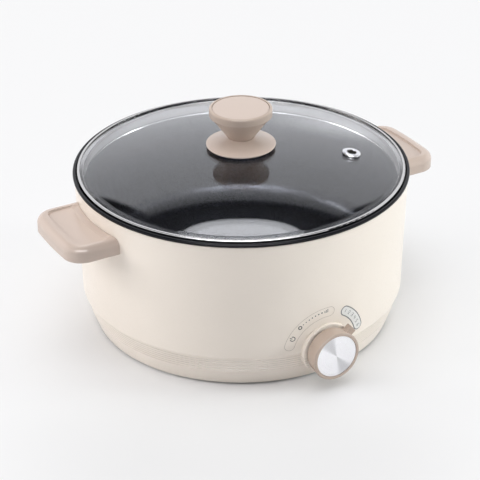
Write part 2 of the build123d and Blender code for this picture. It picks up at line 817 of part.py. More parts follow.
with BuildPart() as capillary_tube:
    with BuildLine() as capillary_line:
        capillary_low_z = shield_z + shield_rim + 2 * capillary_r
        FilletPolyline((-phial_length / 2, phial_y, phial_z), (-phial_length / 2 - 14, phial_y, phial_z),
                       (-phial_length / 2 - 12, phial_y - capillary_swing, capillary_low_z),
                       (-thermostat_width / 3, thermostat_tail_y + 14, capillary_low_z),
                       (-thermostat_width / 3, thermostat_tail_y, capillary_low_z),
                       radius=[8.0, 14.0, 8.0])
    with BuildSketch(Plane((-phial_length / 2, phial_y, phial_z), x_dir=(0, 1, 0), z_dir=(-1, 0, 0))):
        Circle(capillary_r)
    sweep(path=capillary_line.wires()[0])
save(capillary_tube.part, "capillary_tube")

# ---- Dial -----------------------------------------------------------------------------

with BuildPart() as dial_shaft:
    shaft_back_y = thermostat_back_y - 4.3
    shaft_front_y = dial_front_y + cap_recess + cap_thickness + dial_web + 0.3
    with BuildSketch(facing_front(shaft_back_y)):
        Circle(shaft_r)
    extrude(amount=shaft_back_y - shaft_front_y)
    # The front stretch has a flat for the dial's hub
    flat_start_y = boss_face_y - bush_reach
    with BuildSketch(facing_front(flat_start_y)):
        with Locations((0, shaft_r - shaft_flat / 2)):
            Rectangle(2 * shaft_r, shaft_flat)
    extrude(amount=flat_start_y - shaft_front_y, mode=Mode.SUBTRACT)
save(dial_shaft.part, "dial_shaft")

with BuildPart() as dial_ring:
    web_back_y = dial_front_y + cap_recess + cap_thickness + dial_web
    with BuildSketch(facing_front(dial_back_y)):
        Circle(dial_back_r)
    extrude(amount=dial_length, taper=-degrees(atan2(dial_flare, dial_length)))
    # Pointer tab at the back edge
    tab_plane = facing_front(dial_back_y)
    with BuildSketch(tab_plane) as tab:
        with Locations(Location((0, 0, 0), (0, 0, 90 - dial_rest_clock))):
            with Locations((pointer_reach / 2, 0)):
                Rectangle(pointer_reach, pointer_width)
            Circle(pointer_reach - 0.35, mode=Mode.INTERSECT)
    extrude(amount=pointer_depth)
    tip = clock(pointer_reach, dial_rest_clock, dial_back_y - pointer_depth)
    fillet(dial_ring.edges().sort_by_distance(tip)[0], 0.8)
    front_edges = dial_ring.faces().filter_by(Axis.Y).sort_by(Axis.Y)[0].edges()
    fillet(front_edges, dial_edge_round)
    # Hollow back, with a hub on the shaft
    with BuildSketch(facing_front(dial_back_y)):
        Circle(dial_back_r - dial_wall)
        Circle(hub_r, mode=Mode.SUBTRACT)
    extrude(amount=dial_back_y - web_back_y, mode=Mode.SUBTRACT)
    with BuildSketch(facing_front(web_back_y)):
        rib_start_r = hub_r - dial_rib
        rib_end_r = dial_back_r - dial_wall / 2
        with PolarLocations((rib_start_r + rib_end_r) / 2, 4, start_angle=45):
            Rectangle(rib_end_r - rib_start_r, dial_rib)
    extrude(amount=-(dial_back_y - web_back_y) * 0.55)
    with BuildSketch(facing_front(dial_back_y)):
        Circle(shaft_r + shaft_run_gap)
        with Locations((0, shaft_r - shaft_flat / 2 + shaft_run_gap)):
            Rectangle(2 * shaft_r, shaft_flat, mode=Mode.SUBTRACT)
    extrude(amount=dial_back_y - web_back_y, mode=Mode.SUBTRACT)
    # Recess of the metal cap
    with BuildSketch(facing_front(dial_front_y)):
        Circle(cap_r + 0.15)
    extrude(amount=-(cap_recess + cap_thickness), mode=Mode.SUBTRACT)
save(dial_ring.part, "dial_ring")

with BuildPart() as dial_cap:
    cap_back_y = dial_front_y + cap_recess + cap_thickness
    with BuildSketch(facing_front(cap_back_y)):
        Circle(cap_r)
    extrude(amount=cap_thickness)
    chamfer(dial_cap.faces().sort_by(Axis.Y)[0].edges(), 0.35)
save(dial_cap.part, "dial_cap")

# ---- Indicator ------------------------------------------------------------------------


def wall_shell(grow, thickness):
    """A shell that follows the tall wall, its outside grown outwards by a distance."""
    outside = wall_arc(grow)
    inside = wall_arc(grow - thickness)
    with BuildPart() as shell:
        with BuildSketch(Plane.XZ):
            with BuildLine():
                ThreePointArc(*outside)
                ThreePointArc(*inside)
                Line(outside[0], inside[0])
                Line(outside[2], inside[2])
            make_face()
        revolve(axis=Axis.Z)
    return shell.part


flange_shell = wall_shell(-housing_wall - lens_gap, lens_flange)
lens_shell = wall_shell(lens_proud, lens_proud + housing_wall + lens_gap + lens_flange)

with BuildPart() as lens_flange_ring:
    extrude(window_slot(-lens_flange, boss_face_y), amount=-lens_reach)
    add(flange_shell, mode=Mode.INTERSECT)

with BuildPart() as indicator_lens:
    extrude(window_slot(lens_gap, boss_face_y), amount=-lens_reach)
    add(lens_shell, mode=Mode.INTERSECT)
    add(lens_flange_ring.part)
save(indicator_lens.part, "indicator_lens")

with BuildPart() as indicator_lamp:
    lamp_x = window_outer_r * sin(radians(window_end_clock)) - 2.0
    lamp_y = -sqrt((wall_foot_r - housing_wall - 6.0)**2 - lamp_x**2)
    lamp_z = wall_foot_z - 6.0
    with BuildSketch(Plane((lamp_x, lamp_y, lamp_z))):
        Circle(lamp_r)
    extrude(amount=lamp_length)
    fillet(indicator_lamp.edges().group_by(Axis.Z)[-1], lamp_r * 0.7)
save(indicator_lamp.part, "indicator_lamp")

with BuildPart() as lamp_holder:
    with BuildSketch(Plane((lamp_x, lamp_y, lamp_z - 2))):
        with Locations((0, -2.5)):
            Rectangle(lamp_seat_width, lamp_seat_length)
    extrude(amount=6)
    add(cavity.part, mode=Mode.INTERSECT)
    with BuildSketch(Plane((lamp_x, lamp_y, lamp_z))):
        Circle(lamp_r + 0.1)
    extrude(amount=lamp_length, mode=Mode.SUBTRACT)
save(lamp_holder.part, "lamp_holder")

# ---- Mains inlet ----------------------------------------------------------------------

with BuildPart() as inlet_socket:
    with BuildSketch(facing_back(shroud_reach, inlet_z)):
        RectangleRounded(inlet_flange_width, inlet_flange_height, 3.8)
        with GridLocations(inlet_screw_spacing, 1, 2, 1):
            Circle(small_screw_r + screw_gap / 2, mode=Mode.SUBTRACT)
    extrude(amount=-inlet_flange_thickness)
    with BuildSketch(facing_back(shroud_reach - inlet_flange_thickness, inlet_z)):
        RectangleRounded(inlet_body_width, inlet_body_height, 1.8)
    extrude(amount=-inlet_body_depth + inlet_flange_thickness)
    with BuildSketch(facing_back(shroud_reach, inlet_z)) as socket_mouth:
        Rectangle(socket_width, socket_height)
        chamfer(socket_mouth.vertices().group_by(Axis.Y)[-1], socket_corner)
        fillet(socket_mouth.vertices().group_by(Axis.Y)[0], 1.0)
    extrude(amount=-socket_depth, mode=Mode.SUBTRACT)
    with Locations(facing_back(shroud_reach, inlet_z)):
        with GridLocations(inlet_screw_spacing, 1, 2, 1):
            CounterSinkHole(small_screw_r + screw_gap / 2, small_head_r + screw_gap / 2, inlet_flange_thickness)
    with BuildSketch(facing_back(shroud_reach, inlet_z)):
        with Locations((0, earth_pin_rise), (pin_spacing / 2, -live_pin_drop), (-pin_spacing / 2, -live_pin_drop)):
            Rectangle(pin_width, pin_height)
    extrude(amount=-2 * inlet_body_depth, mode=Mode.SUBTRACT)
save(inlet_socket.part, "inlet_socket")

with BuildPart() as inlet_pins:
    pin_tip_y = shroud_reach - socket_depth + pin_reach
    pin_back_y = shroud_reach - inlet_body_depth - tab_length
    with BuildSketch(facing_back(pin_tip_y, inlet_z)):
        with Locations((0, earth_pin_rise), (pin_spacing / 2, -live_pin_drop), (-pin_spacing / 2, -live_pin_drop)):
            Rectangle(pin_width - 0.04, pin_height - 0.04)
    extrude(amount=-(pin_tip_y - pin_back_y))
    chamfer(inlet_pins.faces().filter_by(Axis.Y).group_by(Axis.Y)[-1].edges(), 0.5)
save(inlet_pins.part, "inlet_pins")

inlet_screw = flush_screw(small_screw_r, inlet_flange_thickness + inlet_screw_bite, small_head_r)
with BuildPart() as inlet_screws:
    with Locations(facing_back(shroud_reach, inlet_z)):
        with Locations((inlet_screw_spacing / 2, 0, -0.05), (-inlet_screw_spacing / 2, 0, -0.05)):
            add(inlet_screw)
save(inlet_screws.part, "inlet_screws")

with BuildPart() as terminal_block:
    block_plane = Plane((block_x, block_y, cover_top_z + rib_height))
    with BuildSketch(block_plane):
        RectangleRounded(block_length, block_width, 2)
    extrude(amount=block_height)
    with BuildSketch(block_plane.offset(block_height)):
        with GridLocations(block_length * 0.3, block_width * 0.55, 3, 2):
            Circle(block_width * 0.13)
    extrude(amount=-block_height * 0.45, mode=Mode.SUBTRACT)
save(terminal_block.part, "terminal_block")

# ---- Carrying handles -----------------------------------------------------------------

handle_wall_r = outer_wall_r(handle_top_z)
handle_reach = handle_wall_r + handle_standout
handle_post_x = handle_reach - handle_post_inset
root_inner_r = pot_mouth_r - handle_half_width / 4


def handle_plan(inset, root_r):
    """The handle's outline from above, drawn inwards by an inset, open to the wall."""
    half = handle_half_width - inset
    side_x = handle_reach - handle_bow - inset
    with BuildLine() as outline:
        Line((root_r, -half), (side_x, -half))
        ThreePointArc((side_x, -half), (handle_reach - inset, 0), (side_x, half))
        Polyline((side_x, half), (root_r, half), (root_r, -half))
    return outline.edges()


def dish_plan(grow, inner_r):
    """The thumb dish's outline: its inner side runs along the pot's wall."""
    half = handle_half_width - dish_end_margin + grow
    outer_x = handle_reach - dish_outer_margin + grow
    inner_x = sqrt(inner_r**2 - half**2)
    with BuildLine() as outline:
        ThreePointArc((inner_x, half), (inner_r, 0), (inner_x, -half))
        Line((inner_x, -half), (outer_x - handle_bow, -half))
        ThreePointArc((outer_x - handle_bow, -half), (outer_x, 0), (outer_x - handle_bow, half))
        Line((outer_x - handle_bow, half), (inner_x, half))
    return outline.edges()


with BuildPart() as saddle:
    with BuildSketch(Plane.XZ):
        with BuildLine():
            saddle_foot, saddle_top = wall_outline(handle_saddle_gap)
            Polyline(saddle_top, (0, housing_top_z), (0, housing_foot_z), saddle_foot)
        make_face()
    revolve(axis=Axis.Z)

with BuildPart() as right_handle:
    with BuildSketch(Plane.XY.offset(handle_bottom_z)) as plan:
        make_face(handle_plan(0, root_inner_r))
        fillet(plan.vertices().group_by(Axis.X)[-1], handle_corner_r)
    extrude(amount=handle_thickness)
    top_edges = right_handle.faces().sort_by(Axis.Z)[-1].edges()
    fillet(top_edges.filter_by(lambda edge: edge.center().X > root_inner_r + 1), handle_edge_round)
    low_edges = right_handle.faces().sort_by(Axis.Z)[0].edges()
    fillet(low_edges.filter_by(lambda edge: edge.center().X > root_inner_r + 1), 1.2)
    # Thumb dish, shallow and with a long slope beside the pot
    with BuildSketch(Plane.XY.offset(handle_top_z)) as dish_top:
        make_face(dish_plan(dish_draft, handle_wall_r + dish_inner_gap))
        fillet(dish_top.vertices().group_by(Axis.X)[-1], dish_corner_r)
        fillet(dish_top.vertices().group_by(Axis.X)[0], dish_corner_r / 2)
    with BuildSketch(Plane.XY.offset(handle_top_z - dish_depth)) as dish_floor:
        make_face(dish_plan(-dish_draft, handle_wall_r + dish_inner_gap + dish_slope))
        fillet(dish_floor.vertices().group_by(Axis.X)[-1], dish_corner_r)
        fillet(dish_floor.vertices().group_by(Axis.X)[0], dish_corner_r / 2)
    loft(mode=Mode.SUBTRACT)
    # Hollow inside, with a step for the cover and posts for its screws
    with BuildSketch(Plane.XY.offset(handle_bottom_z)) as cover_seat:
        make_face(handle_plan(handle_skin - handle_cover_lip, handle_wall_r + handle_skin - handle_cover_lip))
        fillet(cover_seat.vertices().group_by(Axis.X)[-1], handle_corner_r - handle_skin)
    extrude(amount=handle_cover_thickness, mode=Mode.SUBTRACT)
    with BuildSketch(Plane.XY.offset(handle_bottom_z + handle_cover_thickness)) as hollow:
        make_face(handle_plan(handle_skin, handle_wall_r + handle_skin))
        fillet(hollow.vertices().group_by(Axis.X)[-1], handle_corner_r - handle_skin)
        with Locations((handle_post_x, handle_post_y), (handle_post_x, -handle_post_y)):
            Circle(handle_post_r, mode=Mode.SUBTRACT)
        for turn in (-handle_screw_angle, handle_screw_angle):
            with Locations(Location((0, 0, 0), (0, 0, turn))):
                with Locations((handle_wall_r + 6, 0)):
                    Rectangle(16, 11, mode=Mode.SUBTRACT)
    extrude(amount=handle_thickness - handle_cover_thickness - dish_depth - handle_skin, mode=Mode.SUBTRACT)
    with BuildSketch(Plane.XY.offset(handle_bottom_z + handle_cover_thickness)):
        with Locations((handle_post_x, handle_post_y), (handle_post_x, -handle_post_y)):
            Circle(small_screw_r + thread_gap)
    extrude(amount=cover_screw_bite + 2.0, mode=Mode.SUBTRACT)
    # The root follows the housing's wall
    add(saddle.part, mode=Mode.SUBTRACT)
    for turn in (-handle_screw_angle, handle_screw_angle):
        radial = Plane((0, 0, handle_screw_z), x_dir=(0, 0, 1),
                       z_dir=(cos(radians(turn)), sin(radians(turn)), 0))
        with BuildSketch(radial.offset(pot_outer_r)):
            Circle(screw_r + thread_gap)
        extrude(amount=handle_wall_r - pot_outer_r + wall_screw_bite + 1.0, mode=Mode.SUBTRACT)
save(right_handle.part, "right_handle")

with BuildPart() as right_handle_cover:
    with BuildSketch(Plane.XY.offset(handle_bottom_z)) as cover_plan:
        cover_inset = handle_skin - handle_cover_lip + handle_cover_gap
        make_face(handle_plan(cover_inset, handle_wall_r + cover_inset))
        fillet(cover_plan.vertices().group_by(Axis.X)[-1], handle_corner_r - handle_skin)
    extrude(amount=handle_cover_thickness)
    with Locations(facing_down(handle_bottom_z, handle_post_x)):
        with GridLocations(1, 2 * handle_post_y, 1, 2):
            CounterSinkHole(small_screw_r + screw_gap / 2, small_head_r + screw_gap / 2,
                            handle_cover_thickness)
save(right_handle_cover.part, "right_handle_cover")

wall_screw_seat = outer_wall_r(handle_screw_z) - housing_wall - 0.1
wall_screw = pan_screw(screw_r, housing_wall + wall_screw_bite, screw_head_r, screw_head_height * 0.8)
with BuildPart() as right_handle_screws:
    for turn in (-handle_screw_angle, handle_screw_angle):
        out = Vector(cos(radians(turn)), sin(radians(turn)), 0)
        seat = Plane(out * wall_screw_seat + Vector(0, 0, handle_screw_z), x_dir=(0, 0, 1), z_dir=out * -1)
        with Locations(seat):
            add(wall_screw)
save(right_handle_screws.part, "right_handle_screws")

handle_cover_screw = flush_screw(small_screw_r, handle_cover_thickness + cover_screw_bite, small_head_r)
with BuildPart() as right_handle_cover_screws:
    with Locations(facing_down(handle_bottom_z + 0.05, handle_post_x)):
        with GridLocations(1, 2 * handle_post_y, 1, 2):
            add(handle_cover_screw)
save(right_handle_cover_screws.part, "right_handle_cover_screws")

for piece, name in ((right_handle, "left_handle"), (right_handle_cover, "left_handle_cover"),
                    (right_handle_screws, "left_handle_screws"),
                    (right_handle_cover_screws, "left_handle_cover_screws")):
    with BuildPart() as other_side:
        mirror(piece.part, about=Plane.YZ)
    save(other_side.part, name)

# ---- Lid ------------------------------------------------------------------------------


def dome_z(r, radius, centre_z):
    """The height of a dome's surface at a distance from the axis."""
    return centre_z + sqrt(radius**2 - r**2)


with BuildPart() as lid_band:
    with BuildSketch(Plane.XZ) as band_section:
        with BuildLine():
            Polyline((skirt_r, ledge_z - band_skirt), (skirt_r, ledge_z), (band_r, ledge_z),
                     (band_r, lid_top_z), (band_r - band_lip, lid_top_z),
                     (band_r - band_lip, lid_top_z - band_gauge), (band_inside_r, lid_top_z - band_gauge),
                     (band_inside_r, glass_under_z), (skirt_r - band_gauge, glass_under_z),
                     (skirt_r - band_gauge, ledge_z - band_skirt), close=True)
        make_face()
        fillet(band_section.vertices().sort_by_distance((band_r, lid_top_z))[0], band_gauge * 1.3)
        fillet(band_section.vertices().sort_by_distance((band_inside_r, lid_top_z - band_gauge))[0],
               band_gauge * 0.3)
        fillet(band_section.vertices().sort_by_distance((band_r, ledge_z))[0], band_gauge * 0.9)
        fillet(band_section.vertices().sort_by_distance((skirt_r - band_gauge, glass_under_z))[0],
               band_gauge * 0.9)
    revolve(axis=Axis.Z)
save(lid_band.part, "lid_band")

vent_r = sqrt(vent_x**2 + vent_y**2)
vent_lean = asin(vent_r / dome_radius)
vent_out = Vector(vent_x / vent_r * sin(vent_lean), vent_y / vent_r * sin(vent_lean), cos(vent_lean))
vent_top = Plane((vent_x, vent_y, dome_z(vent_r, dome_radius, dome_centre_z)),
                 x_dir=vent_out.cross(Vector(vent_y, -vent_x, 0)), z_dir=vent_out)

with BuildPart() as lid_glass:
    with BuildSketch(Plane.XZ):
        with BuildLine():
            under_radius = dome_radius - glass_thickness
            foot_top = (dome_foot_r, glass_top_z)
            foot_under = (dome_foot_r - 1.0, dome_z(dome_foot_r - 1.0, under_radius, dome_centre_z))
            half_r = dome_foot_r / 2
            Line((0, dome_under_z), (0, apex_z))
            ThreePointArc((0, apex_z), (half_r, dome_z(half_r, dome_radius, dome_centre_z)), foot_top)
            edge_bevel = glass_thickness / 6
            Polyline(foot_top, (glass_r - edge_bevel, glass_top_z), (glass_r, glass_top_z - edge_bevel),
                     (glass_r, glass_under_z + edge_bevel), (glass_r - edge_bevel, glass_under_z),
                     (dome_foot_r, glass_under_z), foot_under)
            ThreePointArc(foot_under, (half_r, dome_z(half_r, under_radius, dome_centre_z)),
                          (0, dome_under_z))
        make_face()
    revolve(axis=Axis.Z)
    with BuildSketch(Plane.XY.offset(apex_z)):
        Circle(knob_hole_r)
    extrude(amount=-2 * glass_thickness, mode=Mode.SUBTRACT)
    with BuildSketch(vent_top.offset(glass_thickness)):
        Circle(vent_tube_r + vent_fit)
    extrude(amount=-3 * glass_thickness, mode=Mode.SUBTRACT)
save(lid_glass.part, "lid_glass")

vent_seal_plane = vent_top.offset(0.02)
vent_flange_plane = vent_seal_plane.offset(vent_seal_thickness)

with BuildPart() as vent_seal:
    with BuildSketch(vent_seal_plane):
        Circle(vent_seal_r)
        Circle(vent_tube_r + vent_fit, mode=Mode.SUBTRACT)
    extrude(amount=vent_seal_thickness)
save(vent_seal.part, "vent_seal")

with BuildPart() as steam_vent:
    with BuildSketch(vent_flange_plane):
        Circle(vent_flange_r)
    extrude(amount=vent_flange)
    fillet(steam_vent.faces().filter_by(GeomType.PLANE).sort_by(Axis.Z)[-1].edges(), vent_flange * 0.6)
    # The tube through the glass, spread to a second flange below it
    with BuildSketch(vent_flange_plane):
        Circle(vent_tube_r)
    extrude(amount=-vent_seal_thickness - glass_thickness - 0.2)
    with BuildSketch(vent_top.offset(-glass_thickness - 0.1)):
        Circle(vent_foot_r)
    extrude(amount=-vent_foot)
    with BuildSketch(vent_top.offset(2 * vent_flange)):
        Circle(vent_bore_r)
    extrude(amount=-4 * glass_thickness, mode=Mode.SUBTRACT)
    bore_edges = steam_vent.edges().filter_by(lambda edge: abs(edge.radius - vent_bore_r) < 0.01
                                              if edge.geom_type == GeomType.CIRCLE else False)
    fillet(bore_edges.sort_by(Axis.Z)[-1], vent_flange * 0.4)
    # Crimp notches round the bore
    with BuildSketch(vent_flange_plane.offset(vent_flange)):
        with PolarLocations(vent_bore_r + vent_notch / 4, vent_notch_count):
            Rectangle(vent_notch * 1.5, vent_notch * 0.7)
    extrude(amount=-vent_flange / 2, mode=Mode.SUBTRACT)
save(steam_vent.part, "steam_vent")

# ---- Lid knob -------------------------------------------------------------------------

knob_seat_z = apex_z + 0.02

with BuildPart() as lid_knob_gasket:
    with BuildSketch(Plane.XZ):
        with BuildLine():
            gasket_foot_z = dome_z(gasket_r, dome_radius, dome_centre_z) + 0.05
            hole_foot_z = dome_z(knob_hole_r, dome_radius, dome_centre_z) + 0.05
            half_r = gasket_r / 2
            half_z = dome_z(half_r, dome_radius, dome_centre_z) + 0.05
            ThreePointArc((knob_hole_r, hole_foot_z), (half_r, half_z), (gasket_r, gasket_foot_z))
            Polyline((gasket_r, gasket_foot_z), (gasket_r, knob_base_z), (knob_hole_r, knob_base_z),
                     (knob_hole_r, hole_foot_z))
        make_face()
    revolve(axis=Axis.Z)
save(lid_knob_gasket.part, "lid_knob_gasket")

with BuildPart() as lid_knob_base:
    with BuildSketch(Plane.XZ) as base_section:
        with BuildLine():
            edge_z = knob_base_z + knob_base_edge
            bevel = knob_base_edge * 0.4
            slope_middle = ((knob_base_r + knob_collar_r) / 2, (edge_z + knob_neck_z) / 2 - knob_base_sag)
            Polyline((knob_screw_r + 0.3, knob_base_z), (knob_base_r - bevel, knob_base_z),
                     (knob_base_r, knob_base_z + bevel), (knob_base_r, edge_z))
            ThreePointArc((knob_base_r, edge_z), slope_middle, (knob_collar_r, knob_neck_z))
            Polyline((knob_collar_r, knob_neck_z), (knob_screw_r + 0.3, knob_neck_z),
                     (knob_screw_r + 0.3, knob_base_z))
        make_face()
        fillet(base_section.vertices().sort_by_distance((knob_base_r, edge_z))[0], knob_base_edge * 0.35)
    revolve(axis=Axis.Z)
save(lid_knob_base.part, "lid_knob_base")

with BuildPart() as lid_knob:
    with BuildSketch(Plane.XZ) as knob_section:
        insert_top_z = knob_neck_z + insert_length
        cap_seat_z = knob_top_z - knob_cap_thickness
        cap_wall_r = knob_cap_r + knob_cap_gap
        shadow_z = knob_neck_z + knob_shadow_gap
        cone_slope = (knob_cone_top_r - knob_neck_r) / knob_cone_height
        pocket_z = knob_neck_z + 2 * knob_wall
        pocket_r = knob_neck_r + cone_slope * 2 * knob_wall - knob_wall * sqrt(1 + cone_slope**2)
        boss_outer_r = insert_r + knob_wall
        boss_top_z = insert_top_z + knob_wall
        with BuildLine():
            # Outside, from the neck up: a shadow gap, the cone and the drum that stands over it
            Polyline((insert_r + 0.05, knob_neck_z), (knob_neck_r - knob_shadow_gap, knob_neck_z),
                     (knob_neck_r - knob_shadow_gap, shadow_z), (knob_neck_r, shadow_z),
                     (knob_cone_top_r, drum_z), (knob_drum_r, drum_z), (knob_drum_r, knob_top_z),
                     (cap_wall_r, knob_top_z), (cap_wall_r, cap_seat_z),
                     (knob_cap_r - knob_cap_seat, cap_seat_z), (knob_cap_r - knob_cap_seat, drum_z),
                     (pocket_r, pocket_z), (boss_outer_r, pocket_z), (boss_outer_r, boss_top_z),
                     (0, boss_top_z), (0, insert_top_z), (insert_r + 0.05, insert_top_z), close=True)
        make_face()
        fillet(knob_section.vertices().sort_by_distance((knob_drum_r, knob_top_z))[0], knob_edge_round)
        fillet(knob_section.vertices().sort_by_distance((knob_drum_r, drum_z))[0], 0.5)
    revolve(axis=Axis.Z)
save(lid_knob.part, "lid_knob")

with BuildPart() as lid_knob_cap:
    with BuildSketch(Plane.XZ) as cap_section:
        with BuildLine():
            cap_edge = (knob_cap_r, knob_top_z - knob_cap_crown)
            cap_radius = (knob_cap_r**2 + knob_cap_crown**2) / (2 * knob_cap_crown)
            cap_half = (knob_cap_r / 2, dome_z(knob_cap_r / 2, cap_radius, knob_top_z - cap_radius))
            Polyline((0, cap_seat_z), (knob_cap_r, cap_seat_z), cap_edge)
            ThreePointArc(cap_edge, cap_half, (0, knob_top_z))
            Line((0, knob_top_z), (0, cap_seat_z))
        make_face()
        fillet(cap_section.vertices().sort_by_distance(cap_edge)[0], 0.4)
    revolve(axis=Axis.Z)
save(lid_knob_cap.part, "lid_knob_cap")

with BuildPart() as lid_knob_insert:
    with BuildSketch(Plane.XY.offset(knob_neck_z)):
        Circle(insert_r)
        Circle(knob_screw_r + thread_gap, mode=Mode.SUBTRACT)
    extrude(amount=insert_length)
    chamfer(lid_knob_insert.edges().group_by(Axis.Z)[0].sort_by(SortBy.RADIUS)[-1], 0.5)
save(lid_knob_insert.part, "lid_knob_insert")

seal_top_z = dome_z(knob_washer_r, dome_radius - glass_thickness, dome_centre_z) - 0.05
seal_z = seal_top_z - seal_thickness
with BuildPart() as lid_knob_seal:
    with BuildSketch(Plane.XY.offset(seal_z)):
        Circle(knob_washer_r)
        Circle(knob_screw_r + screw_gap, mode=Mode.SUBTRACT)
    extrude(amount=seal_thickness)
save(lid_knob_seal.part, "lid_knob_seal")

with BuildPart() as lid_knob_washer:
    with BuildSketch(Plane.XY.offset(seal_z - washer_thickness)):
        Circle(knob_washer_r - 1.0)
        Circle(knob_screw_r + screw_gap, mode=Mode.SUBTRACT)
    extrude(amount=washer_thickness)
    fillet(lid_knob_washer.edges().group_by(Axis.Z)[0].sort_by(SortBy.RADIUS)[-1], 0.5)
save(lid_knob_washer.part, "lid_knob_washer")

head_seat_z = seal_z - washer_thickness
knob_screw = pan_screw(knob_screw_r, knob_neck_z + insert_length * 0.8 - head_seat_z,
                       knob_screw_head_r, knob_screw_head)
with BuildPart() as lid_knob_screw:
    with Locations(facing_down(head_seat_z)):
        add(knob_screw)
save(lid_knob_screw.part, "lid_knob_screw")
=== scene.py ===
from math import asin, cos, degrees, hypot, pi, radians, sin, sqrt, tan

import bmesh
import bpy
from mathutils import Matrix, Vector


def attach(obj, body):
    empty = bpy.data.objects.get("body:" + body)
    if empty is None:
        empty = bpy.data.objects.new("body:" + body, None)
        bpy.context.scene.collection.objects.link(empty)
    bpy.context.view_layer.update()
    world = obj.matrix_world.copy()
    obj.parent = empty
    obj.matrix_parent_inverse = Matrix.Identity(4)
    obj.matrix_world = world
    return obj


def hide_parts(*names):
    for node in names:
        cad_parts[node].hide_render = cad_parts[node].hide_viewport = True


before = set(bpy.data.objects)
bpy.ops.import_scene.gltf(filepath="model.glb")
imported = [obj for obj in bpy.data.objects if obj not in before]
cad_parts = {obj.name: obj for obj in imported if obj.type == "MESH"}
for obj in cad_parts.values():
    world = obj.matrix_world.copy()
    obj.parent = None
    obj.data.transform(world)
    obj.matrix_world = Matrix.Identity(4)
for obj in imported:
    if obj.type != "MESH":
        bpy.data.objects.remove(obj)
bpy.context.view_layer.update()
mm = 0.001
dialZ = 33.2               # height of the dial's axis, in millimetres
backward = (0.489, 0.872)  # level direction from the front of the table to the backdrop
print("frame loaded:", len(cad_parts), "nodes")


# socket maths

class Sock:
    def __init__(self, paint, out):
        self.paint = paint
        self.out = out

    def __add__(self, other):
        return self.paint.math("ADD", self, other)

    def __radd__(self, other):
        return self.paint.math("ADD", other, self)

    def __sub__(self, other):
        return self.paint.math("SUBTRACT", self, other)

    def __rsub__(self, other):
        return self.paint.math("SUBTRACT", other, self)

    def __mul__(self, other):
        return self.paint.math("MULTIPLY", self, other)

    def __rmul__(self, other):
        return self.paint.math("MULTIPLY", other, self)

    def __truediv__(self, other):
        return self.paint.math("DIVIDE", self, other)

    def __rtruediv__(self, other):
        return self.paint.math("DIVIDE", other, self)

    def __pow__(self, other):
        return self.paint.math("POWER", self, other)

    def __rpow__(self, other):
        return self.paint.math("POWER", other, self)

    def __neg__(self):
        return self.paint.math("MULTIPLY", self, -1.0)

    def __abs__(self):
        return self.paint.math("ABSOLUTE", self)

    def __gt__(self, other):
        return self.paint.math("GREATER_THAN", self, other)

    def __lt__(self, other):
        return self.paint.math("LESS_THAN", self, other)


class Paint:
    def __init__(self, name, tree=None):
        if tree is None:
            self.material = bpy.data.materials.new(name)
            self.material.use_nodes = True
            tree = self.material.node_tree
        self.tree = tree
        tree.nodes.clear()

    def node(self, kind, inputs=(), out=0, **settings):
        made = self.tree.nodes.new("ShaderNode" + kind)
        for key, value in settings.items():  # settings first, because they can change the sockets
            setattr(made, key, value)
        for key, value in dict(inputs).items():
            socket = made.inputs[key]
            if isinstance(value, Sock):
                self.tree.links.new(value.out, socket)
            elif socket.type == "RGBA":
                socket.default_value = (*value[:3], 1.0)
            else:
                socket.default_value = value
        return Sock(self, made.outputs[out]) if len(made.outputs) else made

    def math(self, operation, *values):
        return self.node("Math", dict(enumerate(values)), operation=operation)

    def vector(self, operation, *values, out=0):
        return self.node("VectorMath", dict(enumerate(values)), out, operation=operation)

    def range(self, value, low, high, toLow, toHigh, kind):
        return self.node("MapRange", {"Value": value, "From Min": low, "From Max": high,
                                      "To Min": toLow, "To Max": toHigh}, interpolation_type=kind)

    def ramp(self, value, low, high, toLow=0.0, toHigh=1.0):
        return self.range(value, low, high, toLow, toHigh, "SMOOTHSTEP")

    def straight(self, value, low, high, toLow, toHigh):
        return self.range(value, low, high, toLow, toHigh, "LINEAR")

    def mix(self, factor, first, second):
        return self.node("Mix", {0: factor, 6: first, 7: second}, out=2, data_type="RGBA")

    def noise(self, scale, detail=2.0, roughness=0.5, where=None):
        return self.node("TexNoise", {"Scale": scale, "Detail": detail, "Roughness": roughness,
                                      "Vector": where or self.place()})

    def place(self):
        return self.node("TexCoord", out="Object")

    def xyz(self, where=None):
        first = self.node("SeparateXYZ", {0: where or self.place()})
        return [Sock(self, output) for output in first.out.node.outputs]

    def bump(self, height, strength, distance):
        return self.node("Bump", {"Height": height, "Strength": strength, "Distance": distance})

    def lean(self, normal, push):
        return self.vector("NORMALIZE", self.vector("ADD", normal, push))

    def surface(self, **inputs):
        shader = self.node("BsdfPrincipled", {key.replace("_", " "): value for key, value in inputs.items()})
        self.node("OutputMaterial", {"Surface": shader})
        return self.material


def tone(colour, factor):
    return tuple(min(1.0, c * factor) for c in colour)


# moulded plastics and rubbers

